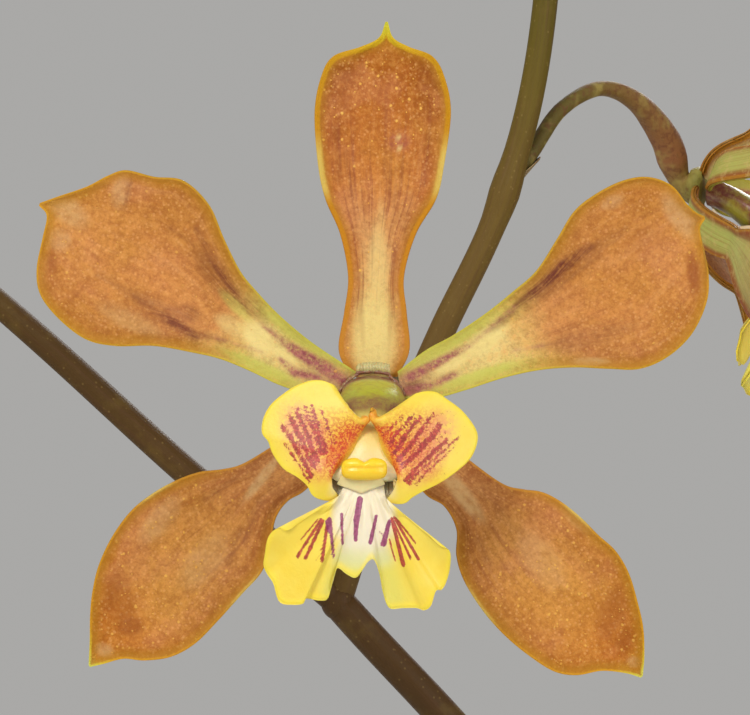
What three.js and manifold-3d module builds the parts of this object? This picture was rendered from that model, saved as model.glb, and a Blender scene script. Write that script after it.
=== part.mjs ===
// A potted orchid, Encyclia selligera, in flower: a clay pot of bark with a clump of pseudobulbs, their strap
// leaves, and one forked flower stem that carries open flowers and buds.
// Millimetres, +Z up. The origin is the centre of the pot's underside, and the flowers face -Y, the front.

import * as THREE from "three";
import { mergeVertices } from "three/addons/utils/BufferGeometryUtils.js";
import Module from "manifold-3d";

const wasm = await Module();
wasm.setup();

// Driving dimensions
const GAP = 0.3; // clearance between neighbouring solids

const POT = {
  height: 112,
  rimRadius: 65,
  bandHeight: 20,
  bandStep: 3.5,
  footRadius: 45,
  wall: 5,
  floor: 6,
  drainHoles: 3,
  drainRadius: 6,
  drainCircle: 26,
  sides: 28,
};

const MEDIUM = { top: 95, chips: 38, chipLength: 17, chipWidth: 12, chipHeight: 7, seed: 7 };

// Each pseudobulb: foot x and y, height, greatest radius, and lean of its tip in x and y.
const BULB_FOOT = MEDIUM.top + 2;
const BULBS = [
  { name: "pseudobulb_1", x: -38, y: 4, height: 50, radius: 11.5, lean: [-7, 2] },
  { name: "pseudobulb_2", x: -14, y: 16, height: 60, radius: 13.5, lean: [-4, 5] },
  { name: "pseudobulb_3", x: -11, y: -17, height: 58, radius: 13, lean: [-4, -5] },
  { name: "pseudobulb_4", x: 12, y: 0, height: 72, radius: 15, lean: [1, 0] },
  { name: "pseudobulb_5", x: 40, y: 6, height: 56, radius: 13, lean: [7, 3] },
];
const BULB_NECK_RADIUS = 4.2;
const BULB_GROOVES = 5;
const BULB_BELLY = 0.4; // the share of its height up to which a bulb stands straight

// Each leaf: its bulb, the way it points from above in degrees, length, greatest width, and how steeply it
// rises and then arches over, in degrees.
const LEAVES = [
  { bulb: 0, heading: 172, length: 150, width: 24, rise: 62, droop: 62 },
  { bulb: 1, heading: 125, length: 232, width: 28, rise: 72, droop: 66 },
  { bulb: 1, heading: 305, length: 84, width: 16, rise: 86, droop: 8 },
  { bulb: 2, heading: 230, length: 226, width: 28, rise: 66, droop: 72 },
  { bulb: 2, heading: 50, length: 76, width: 15, rise: 86, droop: 8 },
  { bulb: 3, heading: 184, length: 262, width: 31, rise: 74, droop: 62 },
  { bulb: 3, heading: 4, length: 270, width: 31, rise: 72, droop: 66 },
  { bulb: 4, heading: 286, length: 220, width: 28, rise: 68, droop: 72 },
  { bulb: 4, heading: 106, length: 206, width: 27, rise: 74, droop: 56 },
];
const LEAF = { thickness: 1.3, wrapRadius: 3.2, wrapReach: 1.3, keel: 0.9, stationSpacing: 30, across: 4 };

// The foremost flower: where its parts join, in the plant's frame. It faces the front.
const HERO_AT = [-30, -40, 500];

// The centre lines of the forked stem, from the top of the flowering bulb, with their radii at both ends.
const FORK = [-32.8, -8, 482.2]; // where the stem behind the foremost flower divides
const NODE = [-19.2, -8, 515.6]; // where the arching pedicel beside it leaves the stem
const STALK_FOOT = [BULBS[3].x + BULBS[3].lean[0], BULBS[3].y, BULB_FOOT + BULBS[3].height + GAP];
const BRANCHES = {
  stalk: {
    points: [STALK_FOOT, [14, 1, 230], [17, 4, 300], [14, 3, 370], [2, -3, 432], [-17, -7, 463.8], FORK],
    radii: [2.0, 1.35],
    rings: 13,
  },
  rachis: {
    points: [FORK, [-29.6, -8, 492], [-24.5, -8, 503.8], NODE, [-15.9, -8, 531.1], [-14.5, -6, 560],
      [-9, -4, 592], [-11, -2, 622], [-8, -3, 648]],
    radii: [1.15, 0.7],
    rings: 13,
  },
  left: {
    points: [FORK, [-46, -8, 493.5], [-60.3, -8, 506.3], [-84, -5, 526], [-104, 2, 556], [-114, 8, 588]],
    radii: [1.25, 0.6],
    rings: 8,
  },
  right: {
    points: [[13, 2.4, 380], [30, 8, 403], [54, 12, 422], [80, 12, 440], [103, 8, 466]],
    radii: [1.1, 0.6],
    rings: 7,
  },
  low: {
    points: [[16, 4, 335], [-4, -8, 362], [-28, -19, 384], [-52, -27, 408], [-68, -28, 438]],
    radii: [1.1, 0.6],
    rings: 7,
  },
  back: {
    points: [[4, -2, 424], [14, 22, 446], [24, 48, 468], [27, 66, 500]],
    radii: [1.0, 0.6],
    rings: 6,
  },
};

// The other flowers: where their parts join, the way they face, the branch and the share of it where the
// pedicel leaves, size against the foremost flower, and turn about their own axis in degrees. One is only
// half open: its tepals lean forward by the degrees of close, and its pedicel nods over by the points of via.
const NODE_SHARE = 0.2125;
const BLOOMS = [
  { at: [-1.75, 4.8, 516.4], facing: [0.93, -0.25, -0.27], branch: "rachis", share: NODE_SHARE, size: 0.95,
    turn: -16, close: 32,
    via: [[-17.1, -7, 518.6], [-14.6, -5, 522.3], [-11.2, -2, 524.3], [-7.9, 1, 523.3], [-5.3, 3.7, 520.3]] },
  { at: [-92, -34, 509], facing: [-0.3, -0.95, 0.08], branch: "left", share: 0.47, size: 0.96, turn: 6 },
  { at: [-118, 30, 530], facing: [-0.66, 0.72, 0.05], branch: "left", share: 0.6, size: 0.98, turn: 4 },
  { at: [15, -32, 560], facing: [0.4, -0.91, 0.05], branch: "rachis", share: 0.55, size: 0.97, turn: -6 },
  { at: [-43, -22, 588], facing: [-0.42, -0.88, 0.15], branch: "rachis", share: 0.7, size: 0.93, turn: 8 },
  { at: [18, 22, 600], facing: [0.72, 0.66, 0.12], branch: "rachis", share: 0.76, size: 0.9, turn: 0 },
  { at: [50, -24, 396], facing: [0.15, -0.98, 0.0], branch: "right", share: 0.36, size: 1.0, turn: 5 },
  { at: [103, -18, 422], facing: [0.62, -0.78, 0.05], branch: "right", share: 0.66, size: 0.96, turn: -7 },
  { at: [-54, -60, 396], facing: [-0.4, -0.91, 0.0], branch: "low", share: 0.6, size: 0.98, turn: -4 },
  { at: [56, 76, 472], facing: [0.66, 0.74, 0.05], branch: "back", share: 0.72, size: 0.95, turn: 0 },
];
const HERO_ON = { branch: "rachis", share: 0.09 };

// Buds: branch, share of it, direction that the pedicel takes, its length and the bud's length.
const BUDS = [
  { branch: "rachis", share: 0.86, way: [-0.7, -0.3, 0.65], stem: 15, length: 13 },
  { branch: "rachis", share: 0.93, way: [0.6, -0.5, 0.65], stem: 12, length: 11 },
  { branch: "rachis", share: 1, way: [0.15, 0.1, 1], stem: 7, length: 8 },
  { branch: "left", share: 0.88, way: [-0.8, 0.1, 0.55], stem: 13, length: 12 },
  { branch: "left", share: 1, way: [-0.1, 0.1, 1], stem: 8, length: 9 },
  { branch: "right", share: 0.88, way: [0.75, 0.1, 0.6], stem: 13, length: 12 },
  { branch: "right", share: 1, way: [0.3, -0.1, 1], stem: 8, length: 9 },
  { branch: "low", share: 0.88, way: [-0.75, 0.2, 0.6], stem: 12, length: 12 },
  { branch: "low", share: 1, way: [-0.2, -0.1, 1], stem: 8, length: 9 },
  { branch: "back", share: 1, way: [0.1, 0.3, 1], stem: 8, length: 11 },
];
const PEDICEL_RADIUS = 0.62;
const OVARY_RADIUS = 1.4;
const BUD_GIRTH = 0.26; // a bud's radius against its length
const BRACT_SWELL = 0.5; // what the small bract adds round the foot of a pedicel

// Flower outlines, in the flower's own frame: x to the right as it faces the viewer, y up, z towards the
// viewer. Each tepal is a pair of edges from its foot to its tip, and the points of a pair lie across from
// each other.
const TEPALS = {
  dorsal_sepal: {
    left: [[-1.6, 0.6], [-2.5, 2.6], [-2.1, 5.4], [-1.8, 8.1], [-2.4, 11.3], [-3.5, 13.9], [-4.1, 16.6],
      [-4.3, 20.2], [-3.8, 23.1], [-2.7, 24.8], [-0.9, 25.4], [0.5, 26.1], [1.0, 27.2]],
    right: [[1.9, 0.6], [2.8, 2.6], [2.6, 5.4], [2.4, 8.1], [3.3, 11.3], [4.8, 13.9], [5.4, 16.6],
      [5.9, 20.2], [5.4, 23.1], [4.3, 24.8], [2.8, 25.3], [1.6, 26.1], [1.2, 27.2]],
    lift: -0.55, bow: -0.5, reflex: 1.2, neckCup: -0.2, bladeCup: 0.12,
  },
  left_petal: {
    left: [[-2.0, -0.9], [-4.6, -0.7], [-6.9, 0.0], [-9.0, 1.0], [-13.3, 2.4], [-16.2, 2.9], [-19.1, 2.9],
      [-21.3, 3.4], [-23.3, 4.9], [-24.8, 7.2], [-24.8, 10.4], [-24.3, 12.4], [-24.9, 13.4]],
    right: [[-1.2, 1.0], [-3.8, 2.7], [-5.4, 3.9], [-7.1, 5.4], [-9.8, 8.5], [-11.0, 10.9], [-12.1, 13.4],
      [-14.0, 15.2], [-16.2, 15.5], [-18.5, 16.0], [-20.9, 14.9], [-23.4, 14.1], [-24.8, 13.6]],
    lift: 0.55, bow: 0.5, reflex: 1.6, neckCup: 0.1, bladeCup: 0.06,
  },
  right_petal: {
    left: [[1.9, 1.0], [4.0, 2.6], [6.0, 3.7], [8.4, 5.3], [12.2, 8.5], [13.7, 10.8], [15.0, 12.9],
      [16.6, 14.2], [18.6, 15.2], [20.5, 15.5], [22.6, 14.7], [24.1, 13.0], [24.9, 12.6]],
    right: [[2.2, -1.0], [4.6, -1.0], [6.9, -0.4], [9.7, 0.5], [15.0, 1.3], [17.6, 1.2], [19.9, 1.2],
      [22.0, 2.1], [23.8, 3.8], [25.0, 6.5], [24.9, 9.5], [24.5, 11.4], [24.9, 12.4]],
    lift: 0.55, bow: 0.5, reflex: 1.6, neckCup: 0.1, bladeCup: 0.06,
  },
  left_sepal: {
    left: [[-0.5, -1.8], [-2.5, -5.2], [-4.9, -7.8], [-6.3, -8.7], [-7.6, -12.0], [-8.2, -13.9],
      [-9.7, -15.6], [-11.5, -17.6], [-13.2, -19.3], [-16.0, -20.6], [-18.6, -20.5], [-20.2, -20.9],
      [-21.15, -21.2]],
    right: [[-1.8, -0.6], [-4.4, -2.6], [-7.5, -4.6], [-9.7, -5.9], [-12.9, -6.5], [-14.6, -7.1],
      [-16.4, -8.1], [-18.0, -9.4], [-19.4, -11.3], [-20.6, -14.1], [-21.1, -17.2], [-21.1, -19.4],
      [-21.3, -21.0]],
    lift: -0.55, bow: 0.2, reflex: 1.4, neckCup: -0.2, bladeCup: 0.12,
  },
  right_sepal: {
    left: [[1.8, -0.6], [4.4, -3.2], [7.4, -5.7], [9.8, -7.4], [12.7, -8.0], [14.1, -8.7], [15.6, -9.9],
      [16.9, -11.2], [18.2, -12.4], [19.5, -14.9], [20.2, -17.8], [20.4, -20.0], [20.3, -21.8]],
    right: [[0.5, -1.8], [2.0, -5.4], [3.9, -8.1], [5.4, -9.1], [6.3, -12.8], [6.9, -14.7], [8.3, -16.9],
      [9.9, -18.7], [11.7, -20.2], [14.4, -21.7], [16.9, -21.4], [18.9, -21.6], [20.1, -22.0]],
    lift: -0.55, bow: 0.2, reflex: 1.4, neckCup: -0.2, bladeCup: 0.12,
  },
};
const TEPAL_THICKNESS = 0.8;
const FAR_STOPS = [0, 0.28, 0.5, 0.8, 1]; // where a tepal of a flower further off has its cross-sections

// The lip: a claw under the column, a wing that folds round each side of the column and flares out in front
// of it, and an apron below with a tooth between two lobes. Each spreads from a root line to a margin.
const LIP = {
  claw: {
    path: [[0, -2.4, 1.2], [-0.2, -4.0, 3.6], [-0.4, -6.0, 6.0], [-0.7, -8.2, 8.5]],
    halfWidth: [1.0, 1.8],
  },
  left_wing: {
    lines: [[[-0.9, -3.4, 2.9], [-2.3, -8.0, 8.3]], [[-2.4, -2.8, 6.0], [-3.8, -7.4, 8.2]],
      [[-0.4, -2.4, 8.8], [-3.4, -6.9, 9.4]]],
    margin: [[-0.3, -2.3, 8.9], [-1.2, -2.6, 8.9], [-2.5, -1.0, 8.6], [-3.45, 0.3, 8.1], [-5.4, 0.0, 7.7],
      [-7.3, -1.4, 7.6], [-8.0, -3.4, 7.9], [-7.2, -4.9, 8.3], [-5.4, -6.6, 9.1], [-4.3, -7.9, 9.3],
      [-3.3, -8.3, 9.1], [-2.5, -7.9, 8.9]],
  },
  right_wing: {
    lines: [[[0.8, -3.4, 2.9], [0.9, -8.2, 8.3]], [[2.1, -2.8, 6.0], [2.6, -7.4, 8.2]],
      [[0.1, -2.2, 8.8], [2.3, -6.9, 9.4]]],
    margin: [[0.0, -1.6, 8.9], [0.6, -2.5, 8.9], [1.9, -1.7, 8.7], [3.6, -0.5, 8.2], [5.5, -1.0, 7.8],
      [7.5, -3.2, 7.7], [7.4, -4.9, 8.0], [6.3, -6.1, 8.5], [4.4, -7.3, 9.1], [2.9, -8.1, 9.3],
      [1.9, -8.6, 9.2], [1.0, -8.3, 8.9]],
  },
  apron: {
    lines: [[[-2.5, -8.0, 8.9], [1.0, -8.4, 8.9]]],
    margin: [[-3.0, -8.8, 9.0], [-3.8, -9.7, 9.2], [-6.2, -10.5, 9.3], [-7.2, -10.6, 9.1], [-7.8, -12.2, 8.8],
      [-7.6, -13.9, 8.6], [-6.8, -15.7, 8.3], [-5.0, -15.9, 8.8], [-3.2, -15.5, 8.6], [-2.9, -14.3, 9.0],
      [-2.3, -13.3, 9.3], [-1.2, -13.9, 9.3], [-0.5, -13.1, 9.4], [0.1, -12.6, 9.5], [0.5, -13.7, 9.2],
      [1.2, -16.2, 8.4], [2.3, -16.2, 8.7], [3.8, -16.3, 8.4], [4.6, -15.1, 8.8], [5.5, -14.2, 8.7],
      [5.6, -12.1, 9.1], [4.0, -10.8, 9.4], [2.0, -10.0, 9.2], [1.0, -8.5, 8.9]],
  },
};
const LIP_THICKNESS = 0.7;
const APRON_SWELL = 0.5;

// The column: its centre line from the flower's middle, arched over the lip, and its section along the way.
const COLUMN = {
  path: [[0, 0.1, 0.4], [0, 0.1, 1.6], [0, -0.4, 3.2], [-0.15, -1.9, 5.6], [-0.35, -4.3, 7.7],
    [-0.55, -6.9, 8.9]],
  halfWidth: [1.8, 1.8, 2.5, 1.7, 2.1, 2.7],
  halfDepth: [1.6, 1.4, 1.25, 1.15, 1.1, 0.7],
};
const HUB = { radius: 1.9, back: -1.3, front: 0.9 };
const ANTHER = { at: [-0.6, -6.1, 9.9], size: [3.3, 1.7, 1.2] };

// Materials
const material = (color, roughness) => new THREE.MeshStandardMaterial({ color, roughness, metalness: 0 });
const CLAY = material(0xb4694a, 0.85);
const BARK = material(0x6b4630, 0.9);
const ROOT = material(0xb9b29a, 0.8);
const BULB = material(0x7f9a4a, 0.55);
const LEAF_GREEN = material(0x4f7a34, 0.45);
const STEM = material(0x86803f, 0.6);
const TEPAL = material(0xb86f35, 0.5);
const LIP_YELLOW = material(0xf2d94a, 0.5);
const COLUMN_CREAM = material(0xe9e2a4, 0.45);
const ANTHER_YELLOW = material(0xf5c81a, 0.4);

// Small helpers
const vec = (p) => new THREE.Vector3(p[0], p[1], p[2] ?? 0);
const curveThrough = (points) => new THREE.CatmullRomCurve3(points.map(vec), false, "catmullrom", 0.5);
const lerp = THREE.MathUtils.lerp;

const radians = THREE.MathUtils.degToRad;
const smooth = (x, low, high) => THREE.MathUtils.smoothstep(x, low, high);

// The same route with both ends drawn out by a little, for the room that is cleared round a piece.
function drawnOut(points, length) {
  const ends = [[0, 1], [points.length - 1, points.length - 2]];
  const route = points.map((p) => [...p]);
  for (const [end, next] of ends) {
    const out = vec(points[end]).sub(vec(points[next])).normalize().multiplyScalar(length);
    route[end] = vec(points[end]).add(out).toArray();
  }
  return route;
}

// A value read along a list of evenly spaced ones.
function along(values, t) {
  const place = Math.min(Math.max(t, 0), 1) * (values.length - 1);
  const i = Math.min(Math.floor(place), values.length - 2);
  return lerp(values[i], values[i + 1], place - i);
}

// A repeatable stream of numbers from 0 to 1.
function stream(seed) {
  let state = seed;
  return () => {
    state = (state + 0x6d2b79f5) | 0;
    let t = Math.imul(state ^ (state >>> 15), 1 | state);
    t = (t + Math.imul(t ^ (t >>> 7), 61 | t)) ^ t;
    return ((t ^ (t >>> 14)) >>> 0) / 4294967296;
  };
}

function solidOf(geometry) {
  const bare = geometry.clone();
  bare.deleteAttribute("normal");
  bare.deleteAttribute("uv");
  const merged = mergeVertices(bare, 1e-4);
  return new wasm.Manifold(
    new wasm.Mesh({
      numProp: 3,
      vertProperties: new Float32Array(merged.attributes.position.array),
      triVerts: new Uint32Array(merged.index.array),
    }),
  );
}

function geometryOf(solid) {
  const mesh = solid.getMesh();
  const geometry = new THREE.BufferGeometry();
  geometry.setAttribute("position", new THREE.BufferAttribute(mesh.vertProperties, 3));
  geometry.setIndex(new THREE.BufferAttribute(mesh.triVerts, 1));
  geometry.computeVertexNormals();
  return geometry;
}

const union = (solids) => solids.reduce((whole, next) => whole.add(next));

// The largest single body of a solid, so that no loose scrap of a cut is kept.
function mainBody(solid) {
  return solid.decompose().reduce((best, next) => (next.volume() > best.volume() ? next : best));
}

function closedGeometry(points, faces) {
  const geometry = new THREE.BufferGeometry();
  const numbers = points.flatMap((p) => [p.x, p.y, p.z]);
  geometry.setAttribute("position", new THREE.Float32BufferAttribute(numbers, 3));
  geometry.setIndex(faces.flat());
  geometry.computeVertexNormals();
  return geometry;
}

const evenly = (count) => Array.from({ length: count + 1 }, (_, i) => i / count);

// A plate of even thickness round a surface. point(t, u) runs over t and u from 0 to 1; stops lists the t's.
function sheet(point, stops, across, thickness) {
  const step = 1e-3;
  const points = [];
  const faces = [];
  const rows = stops.length;
  const stations = rows - 1;
  const columns = across + 1;
  for (const side of [1, -1])
    for (let i = 0; i < rows; i++)
      for (let j = 0; j < columns; j++) {
        const t = stops[i];
        const u = j / across;
        const alongIt = point(Math.min(t + step, 1), u).sub(point(Math.max(t - step, 0), u));
        const acrossIt = point(t, Math.min(u + step, 1)).sub(point(t, Math.max(u - step, 0)));
        const normal = acrossIt.cross(alongIt).normalize();
        points.push(point(t, u).addScaledVector(normal, (side * thickness) / 2));
      }
  const at = (side, i, j) => side * rows * columns + i * columns + j;
  for (let i = 0; i < stations; i++)
    for (let j = 0; j < across; j++) {
      faces.push([at(0, i, j), at(0, i, j + 1), at(0, i + 1, j + 1)]);
      faces.push([at(0, i, j), at(0, i + 1, j + 1), at(0, i + 1, j)]);
      faces.push([at(1, i, j), at(1, i + 1, j + 1), at(1, i, j + 1)]);
      faces.push([at(1, i, j), at(1, i + 1, j), at(1, i + 1, j + 1)]);
    }
  const rim = [];
  for (let j = 0; j < across; j++) rim.push([0, j]);
  for (let i = 0; i < stations; i++) rim.push([i, across]);
  for (let j = across; j > 0; j--) rim.push([stations, j]);
  for (let i = stations; i > 0; i--) rim.push([i, 0]);
  rim.forEach(([i, j], k) => {
    const [nextI, nextJ] = rim[(k + 1) % rim.length];
    faces.push([at(0, i, j), at(1, i, j), at(1, nextI, nextJ)]);
    faces.push([at(0, i, j), at(1, nextI, nextJ), at(0, nextI, nextJ)]);
  });
  return closedGeometry(points, faces);
}

// A closed body round a curve. section(t, angle) gives the two offsets from the centre line, and sideways is
// the direction of the second one where the curve stays in one plane.
function loft(curve, rings, sides, section, sideways) {
  const frames = curve.computeFrenetFrames(rings, false);
  if (sideways)
    for (let i = 0; i <= rings; i++) {
      frames.binormals[i].copy(sideways);
      frames.normals[i].copy(sideways).cross(frames.tangents[i]).normalize();
    }
  const points = [];
  const faces = [];
  for (let i = 0; i <= rings; i++) {
    const centre = curve.getPointAt(i / rings);
    for (let j = 0; j < sides; j++) {
      const [a, b] = section(i / rings, (j / sides) * 2 * Math.PI);
      points.push(
        centre.clone().addScaledVector(frames.normals[i], a).addScaledVector(frames.binormals[i], b),
      );
    }
  }
  const foot = points.push(curve.getPointAt(0)) - 1;
  const tip = points.push(curve.getPointAt(1)) - 1;
  for (let j = 0; j < sides; j++) {
    const next = (j + 1) % sides;
    for (let i = 0; i < rings; i++) {
      const [a, b, c, d] = [i * sides + j, i * sides + next, (i + 1) * sides + next, (i + 1) * sides + j];
      faces.push([a, b, c], [a, c, d]);
    }
    faces.push([foot, next, j], [tip, rings * sides + j, rings * sides + next]);
  }
  return closedGeometry(points, faces);
}

const round = (radius) => (t, angle) => {
  const r = typeof radius === "function" ? radius(t, angle) : radius;
  return [r * Math.cos(angle), r * Math.sin(angle)];
};

function upright(radius, height, sides, x, y, z) {
  const geometry = new THREE.CylinderGeometry(radius, radius, height, sides);
  geometry.rotateX(Math.PI / 2);
  geometry.translate(x, y, z + height / 2);
  return geometry;
}

const plant = new THREE.Group();

function node(name, geometry, look, parent = plant) {
  const mesh = new THREE.Mesh(geometry, look);
  mesh.name = name;
  parent.add(mesh);
  return mesh;
}

// Clay pot: a tapered wall with a rim band, a floor and drain holes round its middle
function innerRadius(z) {
  return lerp(POT.footRadius, POT.rimRadius - POT.bandStep, z / POT.height) - POT.wall;
}

function potGeometry() {
  const { height, rimRadius, bandHeight, bandStep, footRadius, floor, sides } = POT;
  const wallTop = rimRadius - bandStep;
  const underBand = lerp(footRadius, wallTop, (height - bandHeight) / height);
  const profile = [
    [0, 0], [footRadius - 1.5, 0], [footRadius, 1.5], [underBand, height - bandHeight],
    [rimRadius - 0.8, height - bandHeight], [rimRadius, height - bandHeight + 1.5], [rimRadius, height - 1.5],
    [rimRadius - 1.5, height], [innerRadius(height) + 1.2, height], [innerRadius(height - 1.5), height - 1.5],
    [innerRadius(floor), floor], [0, floor],
  ];
  const body = new THREE.LatheGeometry(profile.map(([r, z]) => new THREE.Vector2(r, z)), sides);
  body.rotateX(Math.PI / 2);
  let solid = solidOf(body);
  for (let k = 0; k < POT.drainHoles; k++) {
    const angle = (k / POT.drainHoles) * 2 * Math.PI + Math.PI / 2;
    const x = POT.drainCircle * Math.cos(angle);
    const y = POT.drainCircle * Math.sin(angle);
    solid = solid.subtract(solidOf(upright(POT.drainRadius, POT.floor + 4, 12, x, y, -2)));
  }
  return geometryOf(solid);
}

// Rhizome: a creeping stem that joins the feet of the bulbs, with roots into the bark and over the rim
const RHIZOME_RUN = [[-44, 3], [-38, 4], [-27, 10], [-14, 12], [-2, 3], [12, 0], [26, 2], [40, 6], [47, 8]];
const RHIZOME_RADIUS = 3.2;
const SPUR = [[0, 2], [-11, -16]];
const BURIED_ROOTS = [[-27, -6, 215], [25, -9, 300], [2, 18, 70], [-29, 20, 130]];
const HANGING_ROOTS = [
  { from: [-1, 2, 98.8], by: [1.5, -12, 101], heading: 277, drop: 54, sway: 6 },
  { from: [26, 2, 98.8], by: [31, -10, 103], heading: 318, drop: 38, sway: -8 },
];
const ROOT_RADIUS = 1.5;

function rhizomeParts(grow) {
  const level = MEDIUM.top + GAP + RHIZOME_RADIUS;
  const run = curveThrough(RHIZOME_RUN.map(([x, y]) => [x, y, level]));
  const spur = curveThrough(SPUR.map(([x, y]) => [x, y, level]));
  const stems = [
    loft(run, 13, 6, round(RHIZOME_RADIUS - 0.05)),
    loft(spur, 3, 6, round(RHIZOME_RADIUS - 0.1)),
  ];
  const buried = BURIED_ROOTS.map(([x, y, heading]) => {
    const way = new THREE.Vector2(Math.cos(radians(heading)), Math.sin(radians(heading)));
    const line = curveThrough(drawnOut([
      [x - way.x * 9, y - way.y * 9, level], [x, y, level + 2.5], [x + way.x * 7, y + way.y * 7, level - 1.5],
      [x + way.x * 9, y + way.y * 9, level - 13],
    ], grow));
    return loft(line, 4, 5, round(ROOT_RADIUS + grow));
  });
  const hanging = HANGING_ROOTS.map(({ from, by, heading, drop, sway }) => {
    const way = new THREE.Vector2(Math.cos(radians(heading)), Math.sin(radians(heading)));
    const out = POT.rimRadius + ROOT_RADIUS + 0.7;
    const over = POT.height + ROOT_RADIUS + 2.0;
    const place = (r, z, turn = 0) => {
      const spun = way.clone().rotateAround(new THREE.Vector2(), radians(turn));
      return [spun.x * r, spun.y * r, z];
    };
    const line = curveThrough([
      from, by, place(innerRadius(POT.height) - 4, over + 1.5),
      place(out - 2.2, over), place(out + 0.2, POT.height - 8),
      place(out + 0.4, POT.height - drop / 2, sway / 2), place(out - 1.2, POT.height - drop, sway),
    ]);
    return loft(line, 12, 5, round((t) => (ROOT_RADIUS + grow) * (1 - 0.3 * smooth(t, 0.9, 1))));
  });
  return { stems, buried, hanging };
}

// Pseudobulb: a pear-shaped body, grooved lengthwise, that narrows to a neck where the leaves stand
function bulbShape(bulb, grow = 0) {
  const line = curveThrough(drawnOut([
    [bulb.x, bulb.y, BULB_FOOT], [bulb.x, bulb.y, BULB_FOOT + bulb.height * BULB_BELLY],
    [bulb.x + bulb.lean[0], bulb.y + bulb.lean[1], BULB_FOOT + bulb.height],
  ], grow));
  const outline = [0.52, 0.86, 1, 0.98, 0.86, 0.66, 0.44, 0.27];
  return loft(line, 8, 2 * BULB_GROOVES, (t, angle) => {
    const body = Math.max(along(outline, t) * bulb.radius, BULB_NECK_RADIUS);
    const depth = 0.045 * smooth(t, 0.05, 0.3) * (1 - smooth(t, 0.8, 1));
    return round(body * (1 + depth * Math.cos(BULB_GROOVES * angle)) + grow)(t, angle);
  });
}

const bulbTop = (bulb) => new THREE.Vector3(
  bulb.x + bulb.lean[0], bulb.y + bulb.lean[1], BULB_FOOT + bulb.height,
);

// Leaf: a strap that wraps the neck at its foot, opens into a shallow channel and arches over to a blunt tip
function leafGeometry(leaf) {
  const bulb = BULBS[leaf.bulb];
  const heading = radians(leaf.heading);
  const out = new THREE.Vector3(Math.cos(heading), Math.sin(heading), 0);
  const side = new THREE.Vector3(-out.y, out.x, 0);
  const up = new THREE.Vector3(0, 0, 1);
  const steps = 48;
  const slope = Math.hypot(...bulb.lean) / (bulb.height * (1 - BULB_BELLY));
  const leanHeading = Math.atan2(bulb.lean[1], bulb.lean[0]);
  const arc = evenly(8).map((u) => heading + (u * 2 - 1) * LEAF.wrapReach - leanHeading);
  const highest = Math.max(...arc.map((angle) => -Math.cos(angle)));
  const seat = GAP + (LEAF.wrapRadius + LEAF.thickness / 2) * slope * highest;
  const spine = [bulbTop(bulb).addScaledVector(up, seat).addScaledVector(out, LEAF.wrapRadius)];
  const pitches = [];
  for (let i = 0; i <= steps; i++) {
    const t = i / steps;
    const rise = lerp(89, leaf.rise, smooth(t, 0.0, 0.12));
    const pitch = radians(rise - leaf.droop * smooth(t, 0.08, 1.15) * 1.5);
    pitches.push(pitch);
    const last = spine[spine.length - 1].clone();
    last.addScaledVector(out, (Math.cos(pitch) * leaf.length) / steps);
    last.addScaledVector(up, (Math.sin(pitch) * leaf.length) / steps);
    spine.push(last);
  }
  const halfWidth = (t) => {
    const foot = LEAF.wrapRadius * LEAF.wrapReach;
    const blade = lerp(foot, leaf.width / 2, smooth(t, 0.02, 0.42));
    return blade * Math.sqrt(Math.max(1 - ((Math.max(t, 0.5) - 0.5) / 0.5) ** 3.2, 0.012));
  };
  const point = (t, u) => {
    const place = t * steps;
    const i = Math.min(Math.floor(place), steps - 1);
    const centre = spine[i].clone().lerp(spine[i + 1], place - i);
    const pitch = lerp(pitches[i], pitches[i + 1], place - i);
    const inward = out.clone().multiplyScalar(-Math.sin(pitch)).addScaledVector(up, Math.cos(pitch));
    const bend = lerp(1 / LEAF.wrapRadius, 1 / 34, smooth(t, 0.0, 0.3));
    const reach = (u * 2 - 1) * halfWidth(t);
    const fold = LEAF.keel * (1 - Math.exp(-Math.abs(reach) / 4)) * smooth(t, 0.1, 0.4);
    centre.addScaledVector(side, Math.sin(reach * bend) / bend);
    return centre.addScaledVector(inward, (1 - Math.cos(reach * bend)) / bend + fold);
  };
  const stations = Math.max(5, Math.round(leaf.length / LEAF.stationSpacing));
  return sheet(point, evenly(stations), LEAF.across, LEAF.thickness);
}

// Flower stem: the stalk and its branches, pedicels that swell into ovaries, and buds
const branchCurve = (name) => curveThrough(BRANCHES[name].points);

function branchRadius(name, share) {
  const [low, high] = BRANCHES[name].radii;
  return lerp(low, high, share);
}

// A flower's own frame: its z axis is the way it faces, and its y axis is as upright as that allows.
function flowerFrame({ at, facing, size, turn }) {
  const z = vec(facing).normalize();
  const up = new THREE.Vector3(0, 0, 1);
  const x = up.clone().cross(z).normalize();
  const y = z.clone().cross(x);
  return new THREE.Matrix4()
    .makeBasis(x, y, z)
    .setPosition(...at)
    .multiply(new THREE.Matrix4().makeRotationZ(radians(turn)))
    .scale(new THREE.Vector3(size, size, size));
}

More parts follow.
